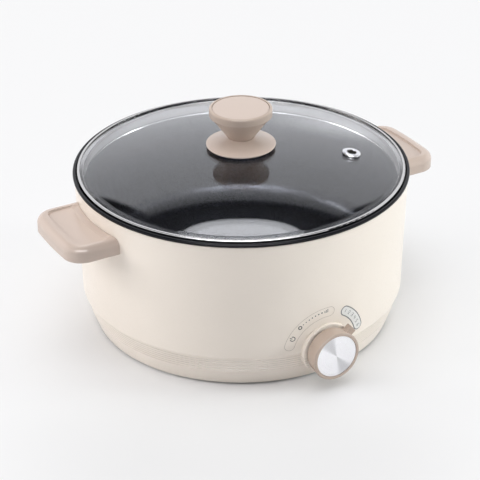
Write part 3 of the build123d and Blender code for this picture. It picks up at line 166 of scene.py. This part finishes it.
mouldings = {
    "cream": {"colour": (0.890, 0.812, 0.732), "roughness": 0.30, "grain": 1500.0, "mottle": 0.012,
              "depth": 0.12, "gloss": 0.5,
              # the band's grooves get painted shade, darkest at their middles
              "grooves": {"firstZ": 17.55, "pitch": 2.4, "count": 6, "reach": 0.42, "paintedShade": 0.26,
                          "shade": 0.35}},
    "taupe": {"colour": (0.577, 0.472, 0.412), "roughness": 0.21, "grain": 1700.0, "mottle": 0.02,
              "depth": 0.16, "gloss": 0.5},
    "darkPlastic": {"colour": (0.030, 0.030, 0.033), "roughness": 0.40, "grain": 1400.0, "mottle": 0.08,
                    "depth": 0.15, "gloss": 0.5},
    "palePlastic": {"colour": (0.66, 0.65, 0.60), "roughness": 0.5, "grain": 1200.0, "mottle": 0.03,
                    "depth": 0.15, "gloss": 0.5},
    "darkRubber": {"colour": (0.026, 0.026, 0.028), "roughness": 0.62, "grain": 1100.0, "mottle": 0.10,
                   "depth": 0.3, "gloss": 0.4},
    "greyRubber": {"colour": (0.22, 0.21, 0.20), "roughness": 0.6, "grain": 1100.0, "mottle": 0.08,
                   "depth": 0.3, "gloss": 0.4},
}
mouldings["shadedTaupe"] = {**mouldings["taupe"], "colour": (0.490, 0.392, 0.330)}  # painted shade: a darker copy of taupe for the knob and dial ring


def paintedGrooveShade(p, grooves):
    # painted shade in the fine grooves round the band, darkest at each groove's middle
    z = p.xyz()[2]
    steps = (z - grooves["firstZ"] * mm) / (grooves["pitch"] * mm)
    off = abs(p.math("FRACT", steps + 0.5) - 0.5)
    inBand = (steps > -0.5) * (steps < grooves["count"] - 0.5)
    return p.ramp(off, 0.0, grooves["reach"], grooves["paintedShade"], 0.0) * inBand


def makeMoulded(name, look):
    p = Paint(name)
    colour = look["colour"]
    roughness = look["roughness"]
    cloud = p.noise(38.0, 3.0)
    fine = p.noise(look["grain"])
    base = p.mix(cloud, tone(colour, 1 - look["mottle"]), tone(colour, 1 + look["mottle"]))
    if "grooves" in look:
        grooves = look["grooves"]
        # painted shade in the grooves round the band
        base = p.mix(paintedGrooveShade(p, grooves), base, tone(colour, grooves["shade"]))
    return p.surface(Base_Color=base, Roughness=p.ramp(fine, 0.25, 0.75, roughness - 0.03, roughness + 0.03),
                     Specular_IOR_Level=look["gloss"], Normal=p.bump(fine, look["depth"], 0.00006))


# plain metals: colour and roughness

metals = {
    "polishedSteel": ((0.74, 0.74, 0.75), 0.16),
    "zincSteel": ((0.62, 0.62, 0.64), 0.30),
    "turnedBrass": ((0.80, 0.60, 0.28), 0.26),
    "bareCopper": ((0.82, 0.44, 0.28), 0.30),
    "castAluminium": ((0.62, 0.63, 0.64), 0.42),
    "elementSheath": ((0.26, 0.25, 0.24), 0.45),
}


def drawnRings(p, z):
    return p.noise(900.0, where=p.node("CombineXYZ", {"Z": z}))  # fine rings left by drawing and turning


def makeMetal(name, colour, roughness):
    p = Paint(name)
    rings = drawnRings(p, p.xyz()[2])
    cloud = p.noise(60.0, 3.0)
    return p.surface(Base_Color=p.mix(cloud, tone(colour, 0.94), tone(colour, 1.04)), Metallic=1.0,
                     Roughness=p.ramp(rings, 0.3, 0.7, roughness - 0.04, roughness + 0.05),
                     Normal=p.bump(rings, 0.05, 0.0001))


# the cooking pot's coating: near black, with flecks of mica that lean each their own way

coating = {
    "low": (0.0030, 0.0033, 0.0050), "high": (0.0055, 0.0060, 0.0085), "fleck": (0.200, 0.208, 0.240),
    "cells": 2600.0, "sparkFrom": 0.15, "cover": 0.7, "metal": 0.8, "tilt": 0.12,
    "rimZ": 141.0, "fade": 1.5,                   # the rim above this height has no flecks
    "rimRoughness": 0.09, "roughness": 0.28, "gloss": 0.18,
}


def makeNonstick():
    p = Paint("nonstick")
    z = p.xyz()[2]
    inside = p.ramp(z, coating["rimZ"] * mm, (coating["rimZ"] + coating["fade"]) * mm, 1.0, 0.0)
    cells = p.node("TexVoronoi", {"Vector": p.place(), "Scale": coating["cells"]}, out="Color")
    fleck = p.node("SeparateColor", {"Color": cells}, out=0)
    spark = p.ramp(fleck, coating["sparkFrom"], 1.0) * inside
    cloud = p.noise(30.0, 3.0)
    base = p.mix(spark * coating["cover"], p.mix(cloud, coating["low"], coating["high"]), coating["fleck"])
    tilt = p.node("VectorMath", {0: p.vector("SUBTRACT", cells, (0.5, 0.5, 0.5)),
                                 "Scale": spark * coating["tilt"]}, operation="SCALE")
    return p.surface(Base_Color=base, Metallic=spark * coating["metal"],
                     Roughness=p.ramp(inside, 0.0, 1.0, coating["rimRoughness"], coating["roughness"]),
                     Specular_IOR_Level=coating["gloss"],
                     Normal=p.lean(p.node("NewGeometry", out="Normal"), tilt))


# the lid's band: a polished edge over a pale skirt, with a painted highlight along its hem and painted shade
# in a band just above it

band = {
    "edge": (0.64, 0.63, 0.62), "edgeZ": 143.0,
    "skirt": (0.84, 0.81, 0.78), "skirtMetal": 0.1,
    # painted shade in a band just above the hem
    "creaseShade": 0.5, "creaseZ": 134.8,
    "hemHighlight": (0.86, 0.85, 0.84), "hemZ": 133.65, "roll": 0.42,  # painted highlight on the hem; roll leans the hem's shading upwards
}


def makeBandSteel():
    p = Paint("bandSteel")
    z = p.xyz()[2]
    rings = drawnRings(p, z)
    skirt = p.ramp(z, band["edgeZ"] * mm, (band["edgeZ"] + 0.4) * mm, 1.0, 0.0)
    hemHighlight = z < band["hemZ"] * mm
    base = p.mix(p.noise(60.0, 3.0), tone(band["edge"], 0.96), band["edge"])
    base = p.mix(skirt, base, band["skirt"])
    # painted shade above the hem
    base = p.mix(z < band["creaseZ"] * mm, base, tone(band["skirt"], band["creaseShade"]))
    # painted highlight on the hem
    base = p.mix(hemHighlight, base, band["hemHighlight"])
    roll = p.node("CombineXYZ", {"Z": hemHighlight * band["roll"]})
    return p.surface(Base_Color=base,
                     Metallic=p.math("MAXIMUM", p.ramp(skirt, 0.0, 1.0, 1.0, band["skirtMetal"]), hemHighlight),
                     Roughness=p.ramp(rings, 0.3, 0.7, 0.12, 0.18) + skirt * 0.25 - hemHighlight * 0.2,
                     Normal=p.lean(p.bump(rings, 0.04, 0.0001), roll))


# the vent's eyelet, with painted shade down its bore

vent = {
    "place": (0.0856, -0.0491, 0.1565), "axis": (0.1516, -0.0870, 0.9846),  # in metres
    "boreR": 4.3, "soften": 0.25, "steel": (0.80, 0.80, 0.81), "paintedBoreShade": (0.03, 0.027, 0.022),
}


def makeVentSteel():
    p = Paint("ventSteel")
    off = p.vector("CROSS_PRODUCT", p.vector("SUBTRACT", p.place(), vent["place"]), vent["axis"])
    fromAxis = p.vector("LENGTH", off, out="Value")
    bore = p.ramp(fromAxis, vent["boreR"] * mm, (vent["boreR"] + vent["soften"]) * mm, 1.0, 0.0)
    fine = p.noise(400.0)
    steel = p.mix(fine, tone(vent["steel"], 0.92), vent["steel"])
    # painted shade down the bore
    return p.surface(Base_Color=p.mix(bore, steel, vent["paintedBoreShade"]), Metallic=p.ramp(bore, 0.0, 1.0, 1.0, 0.1),
                     Roughness=p.ramp(fine, 0.3, 0.7, 0.12, 0.2) + bore * 0.35)


# the dial's cap, spun on a lathe, with a painted sheen: two bright sectors that face each other

spun = {"grey": (0.62, 0.62, 0.645), "paintedSheen": (0.93, 0.93, 0.96), "sheenTurn": 29.0, "edge": 0.22,
        "ringShade": 0.85, "ringShare": 0.22}


def makeSpunMetal():
    p = Paint("spunMetal")
    x, _, z = p.xyz()
    lift = z - dialZ * mm
    ringR = (x * x + lift * lift) ** 0.5
    rings = p.noise(5200.0, 3.0, 0.7, where=p.node("CombineXYZ", {"X": ringR}))
    turn = p.math("ARCTAN2", lift, x)
    sheenFan = p.math("COSINE", (turn - radians(spun["sheenTurn"])) * 2.0) * 0.5 + 0.5
    # painted sheen: bright sectors over the metal's grey
    base = p.mix(p.ramp(sheenFan, 0.0, spun["edge"]), spun["grey"], spun["paintedSheen"])
    base = p.mix(p.ramp(rings, 0.35, 0.75) * spun["ringShare"], base, tone(spun["grey"], spun["ringShade"]))
    return p.surface(Base_Color=base, Metallic=1.0, Roughness=p.ramp(rings, 0.3, 0.7, 0.24, 0.34),
                     Normal=p.bump(rings, 0.5, 0.00005))


# glass, inks and frosted plastics

clear = {"low": (0.92, 0.93, 0.945), "high": (0.94, 0.95, 0.965), "smear": 0.02, "bend": 1.54}
inks = {"darkInk": (0.085, 0.083, 0.085), "midInk": (0.20, 0.195, 0.20), "paleInk": (0.54, 0.48, 0.42)}
frosted = {"windowPlastic": (0.80, 0.79, 0.77), "lampAmber": (0.80, 0.30, 0.06)}


def makeGlass():
    p = Paint("lidGlass")
    smear = p.noise(22.0, 3.0, 0.6)
    return p.surface(Base_Color=p.mix(smear, clear["low"], clear["high"]),
                     Roughness=p.ramp(smear, 0.45, 0.9, 0.0, clear["smear"]),
                     Transmission_Weight=1.0, IOR=clear["bend"])


def makeInk(name, colour):
    p = Paint(name)
    fine = p.noise(2500.0)
    return p.surface(Base_Color=p.mix(fine, tone(colour, 0.92), tone(colour, 1.08)),
                     Roughness=p.ramp(fine, 0.2, 0.8, 0.45, 0.55))


def makeFrosted(name, colour):
    p = Paint(name)
    fine = p.noise(1800.0)
    return p.surface(Base_Color=p.mix(fine, tone(colour, 0.97), tone(colour, 1.03)),
                     Roughness=p.ramp(fine, 0.2, 0.8, 0.30, 0.38), Normal=p.bump(fine, 0.08, 0.00005))


finish = {
    "nonstick": makeNonstick(),
    "bandSteel": makeBandSteel(),
    "ventSteel": makeVentSteel(),
    "lidGlass": makeGlass(),
    "spunMetal": makeSpunMetal(),
}
for name, look in mouldings.items():
    finish[name] = makeMoulded(name, look)
for name, (colour, roughness) in metals.items():
    finish[name] = makeMetal(name, colour, roughness)
for name, colour in inks.items():
    finish[name] = makeInk(name, colour)
for name, colour in frosted.items():
    finish[name] = makeFrosted(name, colour)
print("materials ready")


# every CAD node gets its finish

nodesOf = {
    "cream": ("housing",),
    "taupe": ("right_handle", "left_handle", "right_handle_cover", "left_handle_cover",
              "lid_knob_base", "lid_knob_cap"),
    # painted shade: the knob and dial ring take the darker copy of taupe
    "shadedTaupe": ("lid_knob", "dial_ring"),
    "nonstick": ("inner_pot",),
    "bandSteel": ("lid_band",),
    "ventSteel": ("steam_vent",),
    "polishedSteel": ("lid_knob_washer",),
    "lidGlass": ("lid_glass",),
    "spunMetal": ("dial_cap",),
    "zincSteel": ("cover_screws", "right_handle_screws", "left_handle_screws", "right_handle_cover_screws",
                  "left_handle_cover_screws", "thermostat_bracket", "thermostat_screws", "dial_shaft",
                  "lid_knob_screw", "inlet_screws", "heat_shield", "phial_clip", "fuse_clip", "clip_screws",
                  "element_terminals"),
    "turnedBrass": ("lid_knob_insert", "inlet_pins"),
    "bareCopper": ("sensor_phial", "capillary_tube"),
    "castAluminium": ("heat_spreader",),
    "elementSheath": ("heating_element",),
    "darkPlastic": ("inlet_socket", "bottom_cover"),
    "palePlastic": ("thermostat_body", "terminal_block", "lamp_holder"),
    "windowPlastic": ("indicator_lens",),
    "lampAmber": ("indicator_lamp",),
    "darkRubber": ("rubber_foot_1", "rubber_foot_2", "rubber_foot_3", "rubber_foot_4", "lid_knob_gasket",
                   "vent_seal"),
    "greyRubber": ("lid_knob_seal", "thermal_fuse"),
}
for name, nodes in nodesOf.items():
    for node in nodes:
        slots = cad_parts[node].data.materials
        slots.clear()
        slots.append(finish[name])
print("finishes set")


# geometry helpers

def softShade(made, sharp):
    mesh = made.data
    mesh.polygons.foreach_set("use_smooth", [True] * len(mesh.polygons))
    mesh.set_sharp_from_angle(angle=radians(sharp))
    mesh.update()


def meshObject(name, verts, faces, paint, sharp=30.0):
    mesh = bpy.data.meshes.new(name)
    mesh.from_pydata(verts, [], faces)
    mesh.update()
    made = bpy.data.objects.new(name, mesh)
    bpy.context.scene.collection.objects.link(made)
    made.data.materials.append(paint)
    softShade(made, sharp)
    return made


def fixNormals(made):
    work = bmesh.new()
    work.from_mesh(made.data)
    bmesh.ops.remove_doubles(work, verts=work.verts, dist=1e-7)
    bmesh.ops.recalc_face_normals(work, faces=work.faces)
    work.to_mesh(made.data)
    work.free()


def roundCorner(before, here, after, radius, steps=7):
    toBefore = (Vector(before) - Vector(here)).normalized()
    toAfter = (Vector(after) - Vector(here)).normalized()
    turn = toBefore.angle(toAfter)
    centre = Vector(here) + (toBefore + toAfter).normalized() * (radius / sin(turn / 2))
    reach = radius / tan(turn / 2)
    startSide = Vector(here) + toBefore * reach - centre
    endSide = Vector(here) + toAfter * reach - centre
    sweep = startSide.angle(endSide)
    if startSide.cross(endSide) < 0:
        sweep = -sweep
    points = []
    for step in range(steps + 1):
        c = cos(sweep * step / steps)
        s = sin(sweep * step / steps)
        points.append((centre.x + startSide.x * c - startSide.y * s,
                       centre.y + startSide.x * s + startSide.y * c))
    return points


def lathe(name, outline, paint, segments, sharp):
    verts = []
    for r, z in outline:
        for k in range(segments):
            a = 2 * pi * k / segments
            verts.append((r * mm * cos(a), r * mm * sin(a), z * mm))
    faces = []
    for ring in range(len(outline)):
        low = ring * segments
        high = (ring + 1) % len(outline) * segments
        for k in range(segments):
            n = (k + 1) % segments
            faces.append((low + k, low + n, high + n, high + k))
    return meshObject(name, verts, faces, paint, sharp)


# glass dome: two spherical faces over a flat foot that sits in the band

glass = {"apexZ": 165.2, "topZ": 147.4, "underZ": 143.4, "footR": 140.7, "edgeR": 146.2, "edgeRound": 1.2,
         "thickness": 4.0, "holeR": 4.5, "segments": 192, "rings": 40, "sharp": 40.0}


def leanFoot(dome, slope):
    # the flat foot is shaded like the dome's edge, so that a reflection runs on into the band
    mesh = dome.data
    normals = [tuple(corner.vector) for corner in mesh.corner_normals]
    for polygon in mesh.polygons:
        reach = hypot(polygon.center.x, polygon.center.y)
        if polygon.normal.z > 0.9999 and reach > glass["footR"] * mm:
            for corner in polygon.loop_indices:
                x, y = mesh.vertices[mesh.loops[corner].vertex_index].co.xy
                out = sin(slope) / hypot(x, y)
                normals[corner] = (x * out, y * out, cos(slope))
    mesh.normals_split_custom_set(normals)


def makeDome():
    rise = glass["apexZ"] - glass["topZ"]
    topR = (glass["footR"] ** 2 + rise ** 2) / (2 * rise)
    underR = topR - glass["thickness"]
    centreZ = glass["apexZ"] - topR
    reach = glass["footR"] - glass["holeR"]
    radii = [glass["holeR"] + reach * k / glass["rings"] for k in range(glass["rings"] + 1)]
    topFoot = (glass["footR"], glass["topZ"] + 0.001)
    topEdge = (glass["edgeR"], glass["topZ"])
    underEdge = (glass["edgeR"], glass["underZ"])
    underFoot = (glass["footR"], glass["underZ"])
    outline = [(r, centreZ + sqrt(topR ** 2 - r ** 2)) for r in radii]
    outline += roundCorner(topFoot, topEdge, underEdge, glass["edgeRound"])
    outline += roundCorner(topEdge, underEdge, underFoot, glass["edgeRound"])
    outline += [(r, centreZ + sqrt(underR ** 2 - r ** 2)) for r in reversed(radii)]
    dome = lathe("glassDome", outline, finish["lidGlass"], glass["segments"], glass["sharp"])
    fixNormals(dome)
    softShade(dome, glass["sharp"])
    leanFoot(dome, asin(glass["footR"] / topR))
    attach(dome, "lid")
    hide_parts("lid_glass")


makeDome()
print("lid ready")


# printed scale on the wall beside the dial; clock angles are in degrees from the top

wall = {"footZ": 32.5, "height": 110.5, "footR": 147.2, "flare": 2.6, "belly": 0.25}
scale = {"innerR": 31.0, "outerR": 40.0, "from": -82.0, "to": 12.0, "line": 0.40, "lift": 0.07}
window = {"innerR": 32.0, "outerR": 40.0, "from": 26.0, "to": 80.0, "cap": 6.4, "grow": 0.35, "line": 0.95}
offMark = {"placeR": 35.6, "clock": -63.0, "circleR": 2.1, "gap": 40.0, "barFrom": 0.4, "barTo": 2.7,
           "line": 0.7}
startRing = {"placeR": 36.3, "clock": -44.0, "ringR": 1.45, "line": 0.85, "sides": 24}
dots = {"placeR": 36.4, "from": -38.0, "span": 30.0, "count": 7, "size": 0.46, "growth": 0.04, "sides": 20}
bars = {"placeR": 35.6, "from": -3.4, "step": 2.2, "count": 3, "low": -0.4, "high": 1.6, "growth": 0.6,
        "line": 0.6}
digits = {
    "placeR": 36.2, "from": 24.5, "step": 8.2, "height": 3.0, "width": 1.7, "line": 0.5, "lift": 0.37,
    "strokes": {  # on a grid from -1 to 1
        1: [[(0.0, 1), (0.0, -1)]],
        2: [[(-1, 1), (1, 1), (1, 0), (-1, 0), (-1, -1), (1, -1)]],
        3: [[(-1, 1), (1, 1), (1, -1), (-1, -1)], [(-0.6, 0), (1, 0)]],
        4: [[(-1, 1), (-1, 0), (1, 0)], [(1, 1), (1, -1)]],
        5: [[(1, 1), (-1, 1), (-1, 0), (1, 0), (1, -1), (-1, -1)]],
        6: [[(1, 1), (-1, 1), (-1, -1), (1, -1), (1, 0), (-1, 0)]],
    },
}


def onWall(x, z, lift):
    share = (z - wall["footZ"]) / wall["height"]
    r = wall["footR"] + wall["flare"] * share - 4 * wall["belly"] * share * (1 - share) + lift
    return (x * mm, -sqrt(r * r - x * x) * mm, z * mm)


def clockPoint(radius, clock):
    a = radians(clock)
    return radius * sin(a), dialZ + radius * cos(a)


def aroundDial(radius, clock, points):
    # local points, with their own y pointing out from the dial's axis
    a = radians(clock)
    return [(radius * sin(a) + x * cos(a) + y * sin(a), dialZ + radius * cos(a) - x * sin(a) + y * cos(a))
            for x, y in points]


def arcPoints(radius, start, end, steps=16):
    angles = [radians(start + (end - start) * k / steps) for k in range(steps + 1)]
    return [(radius * sin(a), radius * cos(a)) for a in angles]


def inkObject(name, verts, faces, ink):
    made = meshObject(name, verts, faces, finish[ink])
    fixNormals(made)
    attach(made, "root")


def strip(name, left, right, ink, closed, lift):
    verts = [onWall(x, z, lift) for x, z in left + right]
    count = len(left)
    last = count if closed else count - 1
    faces = [(k, (k + 1) % count, count + (k + 1) % count, count + k) for k in range(last)]
    inkObject(name, verts, faces, ink)


def stroke(name, points, width, ink, closed=False, lift=scale["lift"]):
    left = []
    right = []
    count = len(points)
    for k, point in enumerate(points):
        before = points[k - 1] if closed else points[max(k - 1, 0)]
        after = points[(k + 1) % count] if closed else points[min(k + 1, count - 1)]
        along = (Vector(after) - Vector(before)).normalized()
        side = Vector((-along.y, along.x)) * width / 2
        left.append(tuple(Vector(point) - side))
        right.append(tuple(Vector(point) + side))
    strip(name, left, right, ink, closed, lift)


def disc(name, x, z, radius, ink, sides):
    turns = [2 * pi * k / sides for k in range(sides)]
    verts = [onWall(x, z, scale["lift"])]
    verts += [onWall(x + radius * cos(a), z + radius * sin(a), scale["lift"]) for a in turns]
    faces = [(0, k + 1, (k + 1) % sides + 1) for k in range(sides)]
    inkObject(name, verts, faces, ink)


def capsule(inner, outer, start, end, grow=0.0, steps=36, capSteps=14):
    # an arc round the dial with round ends, whose centres lie at start and end
    middle = (inner + outer) / 2
    half = (outer - inner) / 2 + grow
    out = [clockPoint(middle + half, start + (end - start) * k / steps) for k in range(steps + 1)]
    back = [clockPoint(middle - half, end + (start - end) * k / steps) for k in range(steps + 1)]

    def cap(clock, first):
        x, z = clockPoint(middle, clock)
        angles = [first - radians(clock) - pi * k / capSteps for k in range(1, capSteps)]
        return [(x + half * cos(a), z + half * sin(a)) for a in angles]

    return out + cap(end, pi / 2) + back + cap(start, 3 * pi / 2)


def makeScale():
    cap = degrees(asin((scale["outerR"] - scale["innerR"]) / (scale["outerR"] + scale["innerR"])))
    stroke("scaleOutline", capsule(scale["innerR"], scale["outerR"], scale["from"] + cap, scale["to"] - cap),
           scale["line"], "paleInk", closed=True)
    stroke("windowOutline", capsule(window["innerR"], window["outerR"], window["from"] + window["cap"],
                                    window["to"] - window["cap"], window["grow"]),
           window["line"], "midInk", closed=True)
    # off mark: an open circle with a bar, then a plain circle
    circle = arcPoints(offMark["circleR"], offMark["gap"], 360.0 - offMark["gap"])
    stroke("offCircle", aroundDial(offMark["placeR"], offMark["clock"], circle), offMark["line"], "darkInk")
    bar = [(0, offMark["barFrom"]), (0, offMark["barTo"])]
    stroke("offBar", aroundDial(offMark["placeR"], offMark["clock"], bar), offMark["line"], "darkInk")
    x, z = clockPoint(startRing["placeR"], startRing["clock"])
    turns = [2 * pi * k / startRing["sides"] for k in range(startRing["sides"])]
    stroke("scaleStart", [(x + startRing["ringR"] * cos(a), z + startRing["ringR"] * sin(a)) for a in turns],
           startRing["line"], "darkInk", closed=True)
    for k in range(dots["count"]):
        x, z = clockPoint(dots["placeR"], dots["from"] + dots["span"] * k / (dots["count"] - 1))
        disc(f"scaleDot{k + 1}", x, z, dots["size"] + dots["growth"] * k, "darkInk", dots["sides"])
    for k in range(bars["count"]):
        bar = [(0, bars["low"]), (0, bars["high"] + bars["growth"] * k)]
        stroke(f"scaleBar{k + 1}", aroundDial(bars["placeR"], bars["from"] + bars["step"] * k, bar),
               bars["line"], "darkInk")


def makeDigits():
    for digit, strokes in digits["strokes"].items():
        clock = digits["from"] + digits["step"] * digit
        for letter, points in zip("ab", strokes):
            sized = [(x * digits["width"] / 2, z * digits["height"] / 2) for x, z in points]
            stroke(f"digit{digit}{letter}", aroundDial(digits["placeR"], clock, sized),
                   digits["line"], "midInk", lift=digits["lift"])


makeScale()
makeDigits()
print("printed scale ready")


# floor: plain paper with a painted soft shadow in front of the pot, which the camera sees a little brighter
# away from the pot

floor = {
    "size": 30.0, "paper": (0.810, 0.810, 0.820), "roughness": 0.6, "gloss": 0.1,
    "seen": (0.99, 0.99, 1.0), "seenDim": (0.99, 0.985, 0.99), "strength": 0.94,
    "near": 0.12, "far": 0.30, "nearShare": 0.05, "farShare": 0.76,  # how much of it is only seen
    "paintedShadowTone": 0.87,                                                     # painted soft shadow in front of the pot
    "shadeFrom": 0.10, "shadeFull": 0.17, "fadeFrom": 0.18, "fadeTo": 0.32, "fadeShare": 0.7,
    "sideFrom": 0.06, "sideTo": 0.26,
}


def makeFloorPaint():
    p = Paint("floorPaint")
    ax, ay = backward
    x, y = p.xyz()[:2]
    toward = -(x * ax + y * ay)
    aside = abs(x * ay - y * ax)
    # painted shadow: a soft patch in front of the pot, darker on the paper and in what the camera sees
    shade = p.ramp(toward, floor["shadeFrom"], floor["shadeFull"])
    shade = shade * p.ramp(toward, floor["fadeFrom"], floor["fadeTo"], 1.0, floor["fadeShare"])
    shade = shade * p.ramp(aside, floor["sideFrom"], floor["sideTo"], 1.0, 0.0)
    paper = p.mix(p.noise(600.0), tone(floor["paper"], 0.995), floor["paper"])
    paper = p.mix(shade, paper, tone(floor["paper"], floor["paintedShadowTone"]))
    plain = p.node("BsdfPrincipled", {"Base Color": paper, "Roughness": floor["roughness"],
                                      "Specular IOR Level": floor["gloss"]})
    seen = p.mix(shade, floor["seen"], tone(floor["seenDim"], floor["paintedShadowTone"]))
    lit = p.node("Emission", {"Color": seen, "Strength": floor["strength"]})
    camera = p.node("LightPath", out="Is Camera Ray")
    away = (x * x + y * y) ** 0.5
    share = p.ramp(away, floor["near"], floor["far"], floor["nearShare"], floor["farShare"])
    p.node("OutputMaterial", {"Surface": p.node("MixShader", {0: camera * share, 1: plain, 2: lit})})
    return p.material


def makeFloor():
    half = floor["size"]
    corners = [(-half, -half, 0), (half, -half, 0), (half, half, 0), (-half, half, 0)]
    made = meshObject("floor", corners, [(0, 1, 2, 3)], makeFloorPaint())


# studio: soft light from above, and panels that only the gloss and the glass show, in degrees

studio = {
    "zenith": 3.2, "narrow": 6, "fill": 0.06,      # soft light from above, and a little all round
    "seen": 0.93,                                  # what the camera sees behind the pot
    "middle": 0.6,                                 # bearing of the panels' middle
    "backdrop": 1.06, "backdropTop": 45.6, "topSoft": 0.012,
    "fadeFrom": 40.0, "fadeTo": 0.28,              # the backdrop dims towards its top edge
    "dark": 0.03, "wingTop": 34.0,                 # above the backdrop, and beside its upper part
    "wingLow": 22.9, "wingHigh": 19.7,             # the wings' edges at their foot and at the top
    "wingIn": 0.016, "wingOut": 0.006, "footSoft": 0.01,
    "glow": 0.45, "glowTurn": 9.0, "glowRise": 11.0, "glowSize": 8.0,       # soft spot low on the backdrop
    "front": 10.5, "frontHalf": 34.0, "frontLow": 22.0, "frontHigh": 43.0,  # a belt behind the camera
    "frontSoft": 0.1, "frontTopSoft": 0.2, "frontSideSoft": 0.25,           # soft edges are in radians
    "box": 4.4, "boxEdge": 3.0, "boxHalf": 0.235, "boxDepth": 0.30, "boxPlace": 0.487,  # sizes per height
    "boxCorner": 3, "boxSoft": 0.02, "rimFrom": 0.84, "rimTo": 0.88, "boxLowest": 0.05,
    "tint": (0.965, 0.975, 1.02),
}


def backdropLight(p, rise, bearing, turn):
    top = radians(studio["backdropTop"])
    foot = radians(studio["wingTop"])
    edge = p.straight(rise, foot, top, radians(studio["wingLow"]), radians(studio["wingHigh"]))
    wing = p.ramp(turn - edge, -studio["wingIn"], studio["wingOut"])
    wing = wing * p.ramp(rise, foot - studio["footSoft"], foot + studio["footSoft"])
    above = p.math("MAXIMUM", p.ramp(rise, top, top + studio["topSoft"]), wing)
    lit = p.straight(rise, radians(studio["fadeFrom"]), top,
                     studio["backdrop"], studio["backdrop"] * studio["fadeTo"])
    offTurn = bearing - radians(studio["glowTurn"])
    offRise = rise - radians(studio["glowRise"])
    glow = (offTurn ** 2 + offRise ** 2) ** 0.5
    lit = lit + p.ramp(glow, 0.0, radians(studio["glowSize"]), studio["glow"], 0.0)
    return lit + above * (studio["dark"] - lit)


def frontBelt(p, rise, turn):
    low = radians(studio["frontLow"])
    high = radians(studio["frontHigh"])
    half = radians(studio["frontHalf"])
    soft = studio["frontSoft"]
    sideSoft = studio["frontSideSoft"]
    belt = p.ramp(rise, low - soft, low + soft)
    belt = belt * p.ramp(rise, high - soft, high + studio["frontTopSoft"], 1.0, 0.0)
    return p.ramp(pi - turn, half - sideSoft, half + sideSoft, 1.0, 0.0) * belt


def overheadBox(p, side, away, z):
    lifted = p.math("MAXIMUM", z, studio["boxLowest"])
    u = abs(side / lifted) / studio["boxHalf"]
    v = abs(away / lifted - studio["boxPlace"]) / studio["boxDepth"]
    corner = studio["boxCorner"]
    return (u ** corner + v ** corner) ** (1 / corner)  # 1 at the edge of a square with round corners


def makeWorld():
    world = bpy.data.worlds.new("studio")
    bpy.context.scene.world = world
    world.use_nodes = True
    p = Paint("studio", world.node_tree)
    ax, ay = backward
    x, y, z = p.xyz(p.node("TexCoord", out="Generated"))
    away = x * ax + y * ay
    side = x * ay - y * ax
    rise = p.math("ARCTAN2", z, (x * x + y * y) ** 0.5)
    bearing = p.math("ARCTAN2", side, away)
    turn = abs(bearing - radians(studio["middle"]))
    soft = p.math("MAXIMUM", z, 0.0) ** studio["narrow"] * studio["zenith"] + studio["fill"]
    shown = backdropLight(p, rise, bearing, turn)
    shown = shown + frontBelt(p, rise, turn) * (studio["front"] - shown)
    off = overheadBox(p, side, away, z)
    box = p.ramp(off, studio["rimFrom"], studio["rimTo"], studio["box"], studio["boxEdge"])
    inBox = p.ramp(off, 1.0 - studio["boxSoft"], 1.0 + studio["boxSoft"], 1.0, 0.0)
    shown = shown + inBox * (box - shown)
    glossy = p.node("LightPath", out="Is Glossy Ray")
    camera = p.node("LightPath", out="Is Camera Ray")
    strength = soft + glossy * (shown - soft)
    strength = strength + camera * (studio["seen"] - strength)
    colour = p.mix(glossy, (1.0, 1.0, 1.0), studio["tint"])
    p.node("OutputWorld", {"Surface": p.node("Background", {"Color": colour, "Strength": strength})})


lampDistance = 5.0
lampAim = Vector((0, 0, 0.08))
lamps = {  # turn from the front of the table and rise, in degrees
    "rightLamp": {"turn": 88.0, "rise": 18.0, "level": 0.54, "spread": 0.24, "tint": (0.95, 1.0, 0.985)},
    "leftLamp": {"turn": -86.0, "rise": 25.0, "level": 0.575, "spread": 0.55, "tint": (1.0, 0.99, 0.975)},
}


def makeLamp(name, lamp):
    data = bpy.data.lights.new(name, "AREA")
    data.color = lamp["tint"]
    data.shape = "SQUARE"
    data.size = lampDistance * lamp["spread"]
    data.energy = lamp["level"] * pi ** 2 * lampDistance ** 2  # level 1 shows a white wall as white
    ax, ay = backward
    a = radians(lamp["turn"])
    b = radians(lamp["rise"])
    level = Vector((-ax * cos(a) + ay * sin(a), -ay * cos(a) - ax * sin(a), 0))
    made = bpy.data.objects.new(name, data)
    made.location = (level * cos(b) + Vector((0, 0, sin(b)))) * lampDistance
    made.rotation_euler = (lampAim - made.location).to_track_quat("-Z", "Y").to_euler()
    made.visible_glossy = False  # the studio's own panels are what shines in the gloss
    bpy.context.scene.collection.objects.link(made)


view = {"lens": 123.75, "sensor": 36.0, "near": 0.05, "far": 100.0,
        "place": (-0.65225, -1.16230, 0.79799), "turn": (61.31495, 0.38745, -29.44635)}


def makeCamera():
    data = bpy.data.cameras.new("camera")
    data.lens = view["lens"]
    data.sensor_width = view["sensor"]
    data.clip_start = view["near"]
    data.clip_end = view["far"]
    made = bpy.data.objects.new("camera", data)
    made.location = view["place"]
    made.rotation_euler = [radians(a) for a in view["turn"]]
    bpy.context.scene.collection.objects.link(made)
    bpy.context.scene.camera = made


makeFloor()
makeWorld()
for name, lamp in lamps.items():
    makeLamp(name, lamp)
makeCamera()
bpy.context.scene.view_settings.view_transform = "Standard"
print("stage ready")
